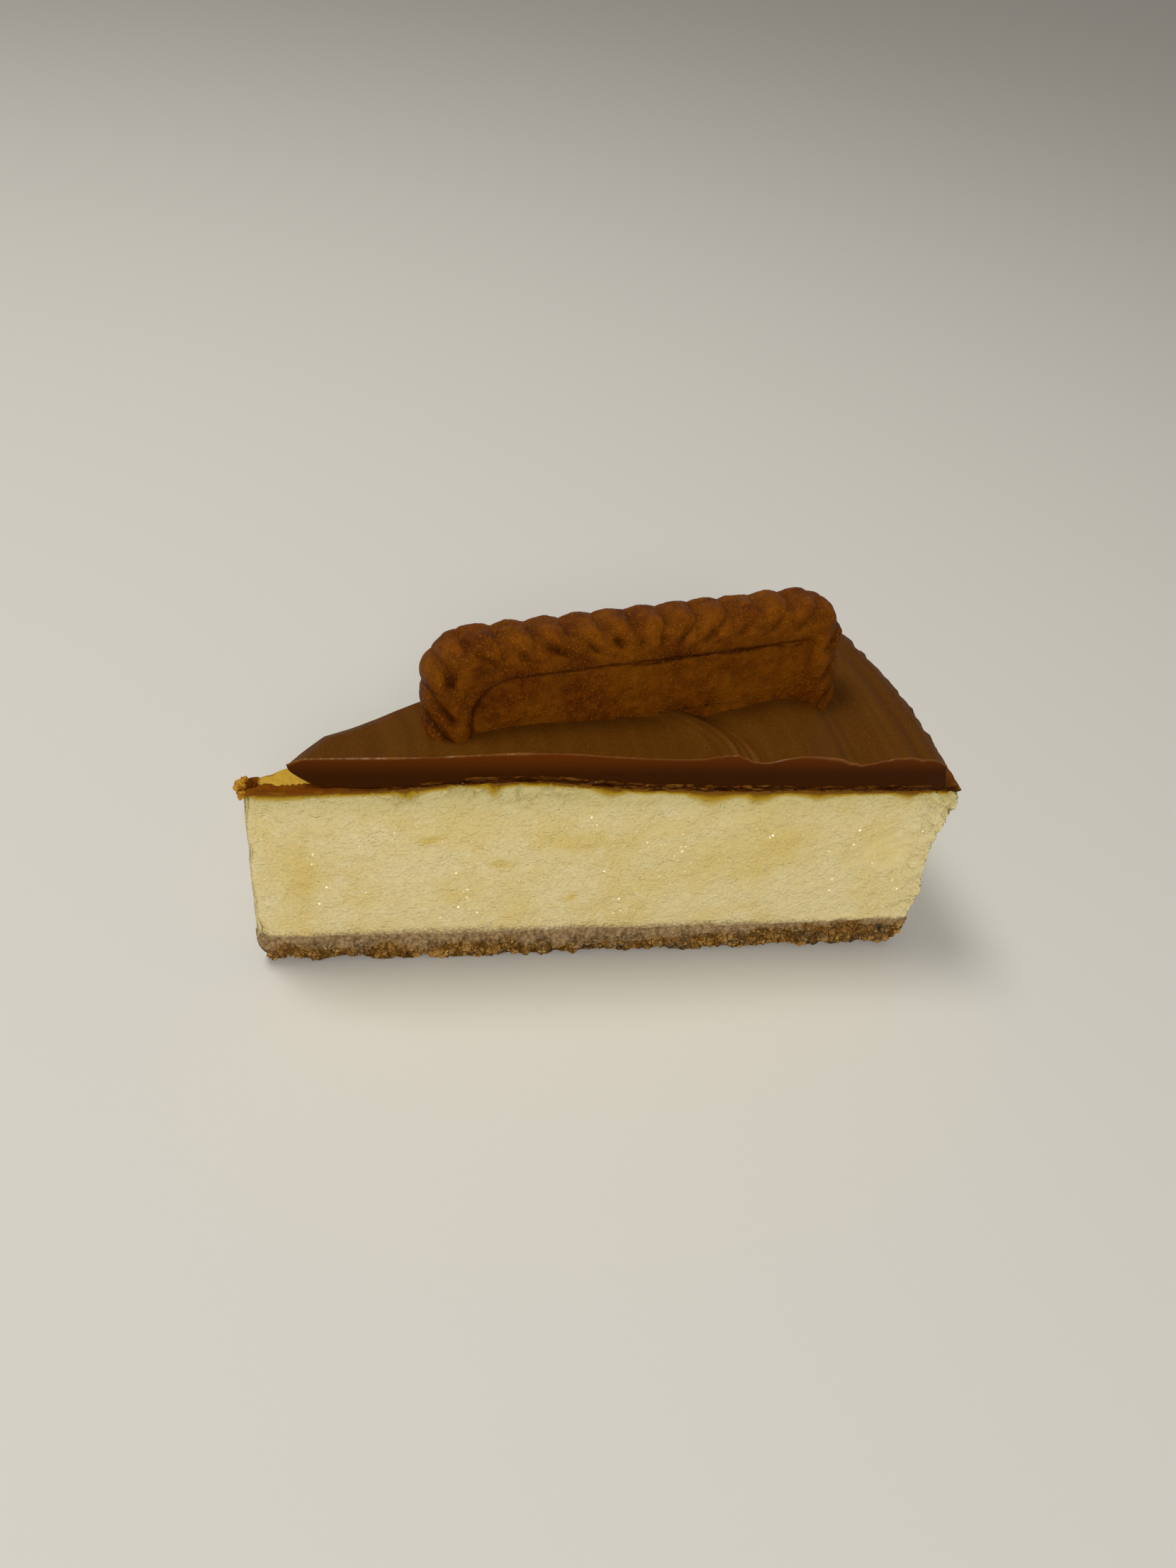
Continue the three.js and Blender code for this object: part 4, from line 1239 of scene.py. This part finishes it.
def ring_faces(rings, samples):
    """Quads between neighbouring rings, and one face to close each end."""
    index = np.arange(rings * samples).reshape(rings, samples)
    turned = np.roll(index, -1, axis=1)
    quads = np.stack([index[:-1], turned[:-1], turned[1:], index[1:]], -1).reshape(-1, 4)
    return quads, index[0][::-1], index[-1]


rings, biscuit_shaded_gap, grooves = biscuit_rings()
biscuit_quads, back_cap, front_cap = ring_faces(len(rings), len(outline_centre))
biscuit_points = rings.reshape(-1, 3)
biscuit_out = facing(biscuit_points, biscuit_quads)
crust, shaded_pits = crust_bumps(biscuit_points, 3.6)
biscuit_points = biscuit_points + biscuit_out * (crust - GROOVE_DEPTH * grooves)[:, None]
# painted shade in the grooves of the teeth
biscuit_shaded_gap = np.clip(biscuit_shaded_gap + 0.9 * grooves, 0, 1)
print("biscuit has", len(rings), "rings")

# %% [markdown]
# The biscuit stands in the cake: it is turned a little, leans back, and its right end is
# higher. The same three angles and the same foot as in the CAD model put it there. The turn
# is worked into the points instead of the object, so all pieces share one place and one scale.

# %% Biscuit: stood up in the cake
BISCUIT_FOOT = Vector((55.0, -4.5, 40.9))
BISCUIT_TURN, BISCUIT_LEAN, BISCUIT_PITCH = (math.radians(a) for a in (-2.8, 10.0, 2.2))
FRONT_SHARE = 0.88

stand = Matrix.Translation(BISCUIT_FOOT) @ Matrix.Rotation(BISCUIT_TURN, 4, "Z")
stand = stand @ Matrix.Rotation(math.pi / 2 - BISCUIT_LEAN, 4, "X")
stand = stand @ Matrix.Translation((0, 0.2, -FRONT_SHARE * BISCUIT_THICKNESS))
stand = np.array(stand @ Matrix.Rotation(BISCUIT_PITCH, 4, "Z"))
biscuit_points = biscuit_points @ stand[:3, :3].T + stand[:3, 3]
biscuit_faces = [*biscuit_quads.tolist(), back_cap.tolist(), front_cap.tolist()]
biscuit_masks = {"shaded_gap": biscuit_shaded_gap, "shaded_pit": shaded_pits}
biscuit = make_piece("biscuit_with_rim", biscuit_points, np.array(biscuit_faces, dtype=object),
                     biscuit_masks)
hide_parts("pressed_biscuit")

# %% [markdown]
# Baked crust is orange brown where it is thin, has painted shade in its creases, grooves and
# pits, and has a dull shine. A thin clear coat would make all of it wet, so the coat is only in
# small specks, where sugar melted.

# %% Biscuit: finish
CRUST, CRUST_DARK = colour(108, 52, 0), colour(80, 35, 0)
CRUST_LIGHT, CRUST_GAP_SHADE = colour(144, 84, 4), colour(48, 14, 1)


def crust_finish(tree, shader, place):
    """Mottled baked crust, with painted shade in gaps and pits, and small melted spots."""
    fine = effect(tree, GRAIN, place, Size=0.3)
    mottle = effect(tree, GRAIN, place, Size=1.6)
    wrinkles = effect(tree, WRINKLES, place, Size=1.1, Bend=1.5)
    melted = effect(tree, SPECKS, place, Spacing=0.8, Radius=0.16, Share=0.35)
    tone = painted(
        tree, CRUST_DARK,
        (mask_between(tree, mottle, 0.35, 0.7), CRUST),
        (effect(tree, PATCHES, place, Size=7.0, Middle=0.5, Softness=0.2), CRUST_LIGHT, 0.35),
        # painted shade in the pits
        (stored(tree, "shaded_pit"), CRUST_DARK, 0.5),
        # painted shade in the grooves, creases and crack
        (stored(tree, "shaded_gap"), CRUST_GAP_SHADE, 0.75),
        (mask_between(tree, fine, 0.54, 0.7), CRUST_LIGHT, 0.55),
    )
    set_shader(
        tree, shader, Base_Color=tone, Roughness=0.55, Specular_IOR_Level=0.1,
        Specular_Tint=BROWN_SHINE, Coat_Roughness=0.22,
        Coat_Weight=times(tree, melted, mask_between(tree, mottle, 0.36, 0.6)),
    )
    relief(tree, shader, (fine, 0.2), (mottle, 0.22), (wrinkles, 0.24))


give_finish("baked biscuit", crust_finish, biscuit)

# %% [markdown]
# ## Crumbs and crystals
# A cut cake always has loose bits that cling to it: golden crumbs along the base, tiny frosty
# crystals on the cream, and torn lumps of skin at the tip. Copies of one stone would show, so
# each is stretched, turned and made uneven in its own way, and each kind is joined into one
# mesh. They sit on the piece that carries them, partly sunk, so nothing hangs in the air.

# %% Scattered bits
STONE_STRETCH = (0.75, 1.3)


def rough_stone(detail):
    """Points and triangles of a unit ball, to be made uneven."""
    shape = bmesh.new()
    bmesh.ops.create_icosphere(shape, subdivisions=detail, radius=1.0)
    points = np.array([vertex.co for vertex in shape.verts])
    triangles = np.array([[vertex.index for vertex in face.verts] for face in shape.faces])
    shape.free()
    return points, triangles


def scatter(name, spots, sizes, rough, seed, detail=1):
    """One mesh of uneven stones, one at each spot, of the given sizes."""
    rng = np.random.default_rng(seed)
    ball, triangles = rough_stone(detail)
    points, faces = [], []
    for i, (spot, size) in enumerate(zip(spots, sizes, strict=True)):
        stretch = rng.uniform(*STONE_STRETCH, 3) * size
        turn = np.array(Matrix.Rotation(rng.uniform(0, 6.3), 3, rng.normal(size=3)))
        uneven = 1 + rough * lumps(ball, 0.9, i * 1.7, 3)
        points.append((ball * uneven[:, None] * stretch) @ turn.T + spot)
        faces.append(triangles + i * len(ball))
    stones = np.concatenate(points)
    stones[:, 2] = np.maximum(stones[:, 2], 0)
    return make_piece(name, stones, np.concatenate(faces))


def pick_spots(points, chance, count, seed):
    """Chooses points of a mesh at random, more often where the chance is high."""
    rng = np.random.default_rng(seed)
    return rng.choice(len(points), count, replace=False, p=chance / chance.sum())


print("a stone of detail 3 has", len(rough_stone(3)[1]), "triangles")

# %% [markdown]
# The crumbs gather along the lower edge of the base, where the knife broke it. Most are less
# than half a millimetre wide and a few are twice that, so the sizes come from a power of an
# even random number. None may reach below the flat underside.

# %% Loose crumbs along the base
CRUMB_COUNT = 90
wall = 1 - np.abs(base_out[:, 2])
low_edge = wall * hump(base_points[:, 2], 0.9, 0.9)
picked = pick_spots(base_points, low_edge**2 + 1e-9, CRUMB_COUNT, 5)
crumb_sizes = 0.14 + 0.36 * np.random.default_rng(6).uniform(0, 1, len(picked)) ** 2.5
crumb_spots = base_points[picked] - base_out[picked] * crumb_sizes[:, None] * 0.35
crumb_spots[:, 2] = np.maximum(crumb_spots[:, 2], crumb_sizes * 1.25)
base_crumbs = scatter("base_crumbs", crumb_spots, crumb_sizes, 0.7, 7, detail=3)
LOOSE_GOLD = colour(188, 142, 76)


def loose_crumb_finish(tree, shader, place):
    """Golden and brown crumb, rough and matt."""
    mottle = effect(tree, GRAIN, place, Size=1.3)
    tone = painted(tree, CRUMB_BROWN, (mask_between(tree, mottle, 0.38, 0.62), LOOSE_GOLD))
    set_shader(tree, shader, Base_Color=tone, Roughness=0.8, Specular_IOR_Level=0.2)
    relief(tree, shader, (effect(tree, GRAIN, place, Size=0.25), 0.3))


give_finish("golden crumb", loose_crumb_finish, base_crumbs)

# %% [markdown]
# The cream was cold, and frost left small bright points on its cut. They lie in loose clusters
# in the middle of the face and are absent near the skin. A little light of their own stands
# for the sparkle that such small facets would give.

# %% Frosty crystals on the cream
FROST_COUNT = 340
FROST_WHITE, FROST_CREAM = colour(255, 252, 236), colour(236, 224, 186)
frost_level = filling_points[:, 2]
frost_chance = (1 - np.abs(filling_out[:, 2])) * ease(frost_level, 8, 12)
frost_chance *= 1 - ease(frost_level, 25, 31)
in_clusters = 0.04 + np.clip(lumps(filling_points, 6, 6.1, 3), 0, 1) ** 2
frost_chance *= ease(radius_of(filling_points), 5, 9) * in_clusters
picked = pick_spots(filling_points, frost_chance + 1e-9, FROST_COUNT, 15)
frost_sizes = np.random.default_rng(16).uniform(0.2, 1.0, len(picked)) ** 5 * 0.15 + 0.04
frost_spots = filling_points[picked] + filling_out[picked] * frost_sizes[:, None] * 0.2
frost = scatter("frost_crystals", frost_spots, frost_sizes, 0.1, 17)


def frost_finish(tree, shader, place):
    """Shiny white ice, with a weak painted glow for its glitter."""
    shimmer = effect(tree, GRAIN, place, Size=0.2)
    tone = painted(tree, FROST_WHITE, (shimmer, FROST_CREAM))
    # painted glow: emission stands for the sparkle
    set_shader(tree, shader, Base_Color=tone, Roughness=0.12, Emission_Color=tone,
               Emission_Strength=0.45)
    relief(tree, shader, (shimmer, 0.02))


give_finish("frost", frost_finish, frost)

# %% [markdown]
# At the tip the skin broke off in a few golden lumps, with a dark knot of skin behind them.
# There are few enough to list each one, at the spots where the slice has them.

# %% Torn lumps at the tip
LUMP_PLACES = np.array([
    (-0.15, -0.5, 33.9), (-0.15, -0.2, 34.8), (-0.15, -0.3, 35.7), (0.35, 0.1, 35.5),
    (0.15, -0.3, 34.4), (0.45, 0.5, 36.0), (0.0, 0.3, 35.2),
])
LUMP_SIZES = np.array([0.5, 0.62, 0.52, 0.7, 0.72, 0.42, 0.66])
KNOT_PLACES = np.array([(0.6, -0.5, 35.7), (1.0, -0.3, 35.9), (1.5, -0.5, 35.5)])
KNOT_SIZES = np.array([0.42, 0.42, 0.34])
tip_lumps = scatter("tip_lumps", LUMP_PLACES, LUMP_SIZES, 0.6, 24, detail=4)
tip_knot = scatter("tip_knot", KNOT_PLACES, KNOT_SIZES, 0.5, 25, detail=4)
tip_knot.data.materials.append(SKIN_FINISH)


GOLDEN_SKIN = colour(186, 132, 14)


def golden_skin_finish(tree, shader, place):
    """Amber and golden skin, glossy and a little see-through."""
    mottle = effect(tree, GRAIN, place, Size=0.8)
    tone = painted(tree, SKIN_AMBER, (mask_between(tree, mottle, 0.38, 0.6), GOLDEN_SKIN))
    set_shader(tree, shader, Base_Color=tone, Roughness=0.35, Subsurface_Weight=0.2, **EGG_GLOW,
               Specular_IOR_Level=0.2)
    relief(tree, shader, (mottle, 0.15))


give_finish("golden torn skin", golden_skin_finish, tip_lumps)

# %% [markdown]
# ## Floor, light and camera
# A plain pale floor shows the cake as it would look on a table. A bent backdrop would need
# more faces. One large flat face is enough, as it fills the whole picture from the camera.

# %% Floor
FLOOR_SIZE = 4.0
FLOOR_COLOUR = colour(214, 210, 200)
floor_mesh = bpy.data.meshes.new("floor")
half = FLOOR_SIZE / 2
floor_corners = [(-half, -half, 0), (half, -half, 0), (half, half, 0), (-half, half, 0)]
floor_mesh.from_pydata(floor_corners, [], [(0, 1, 2, 3)])
floor = bpy.data.objects.new("floor", floor_mesh)
bpy.context.scene.collection.objects.link(floor)


def floor_finish(tree, shader, place):
    """Matt, pale and slightly warm."""
    set_shader(tree, shader, Base_Color=FLOOR_COLOUR, Roughness=0.8, Specular_IOR_Level=0.1)


give_finish("pale floor", floor_finish, floor)
print("floor is", FLOOR_SIZE, "m wide")

# %% [markdown]
# Two large soft lamps light the slice: one above and behind, which shapes the biscuit and
# leaves a soft shadow, and one in front, as from a window, which keeps the cut face bright.
# An even pale room fills the shadows. Small lamps would give hard edges and bright spots.

# %% Light
def area_light(name, place, target, width, power):
    """A soft square lamp at a place, aimed at a target."""
    lamp = bpy.data.lights.new(name, "AREA")
    lamp.shape, lamp.size, lamp.energy = "SQUARE", width, power
    light = bpy.data.objects.new(name, lamp)
    light.location = place
    light.rotation_euler = (Vector(target) - Vector(place)).to_track_quat("-Z", "Y").to_euler()
    bpy.context.scene.collection.objects.link(light)
    return light


SLICE_MIDDLE = (CAD_LOW + CAD_HIGH) / 2
area_light("ceiling lamp", (-0.22, 0.16, 0.7), SLICE_MIDDLE, 0.22, 2.4)
area_light("window", (-0.28, -0.7, 0.6), SLICE_MIDDLE, 0.3, 3.6)
world = bpy.data.worlds.new("soft room")
bpy.context.scene.world = world
world.use_nodes = True
world.node_tree.nodes["Background"].inputs["Color"].default_value = (1.0, 0.985, 0.96, 1.0)
world.node_tree.nodes["Background"].inputs["Strength"].default_value = 0.3
bpy.context.scene.view_settings.view_transform = "Standard"

# %% [markdown]
# The camera stands where the photograph was taken from: in front of the near cut and above it,
# a little towards the point of the slice, and tilted. Its turn is built from the direction that
# it looks in and its roll, so each angle can be read as it would be measured on a table.

# %% Camera
CAMERA_PLACE = Vector((-61.27, -118.91, 142.36)) * MM
VIEW_TURN, VIEW_DOWN, VIEW_ROLL = math.radians(27.02), math.radians(41.24), -0.1625
LENS = 27.01

camera_data = bpy.data.cameras.new("photo camera")
camera_data.lens = LENS
camera_data.sensor_width = 36.0
camera_data.clip_start = 0.005
camera = bpy.data.objects.new("photo camera", camera_data)
level_share, drop = math.cos(VIEW_DOWN), math.sin(VIEW_DOWN)
forward = Vector((math.sin(VIEW_TURN) * level_share, math.cos(VIEW_TURN) * level_share, -drop))
level_right = Vector((math.cos(VIEW_TURN), -math.sin(VIEW_TURN), 0))
level_down = forward.cross(level_right)
right = level_right * math.cos(VIEW_ROLL) + level_down * math.sin(VIEW_ROLL)
up = level_right * math.sin(VIEW_ROLL) - level_down * math.cos(VIEW_ROLL)
turn = Matrix((right, up, -forward)).transposed()
camera.matrix_world = Matrix.Translation(CAMERA_PLACE) @ turn.to_4x4()
bpy.context.scene.collection.objects.link(camera)
bpy.context.scene.camera = camera
print("camera is", round((camera.location - SLICE_MIDDLE).length / MM), "mm from the slice")

# %% [markdown]
# Last, the CAD model's box is printed. The dense pieces should fill the same space as the
# plain solids that they replace.

# %% Size and finish
print("CAD box ", [round(v / MM, 2) for v in (*CAD_LOW, *CAD_HIGH)])
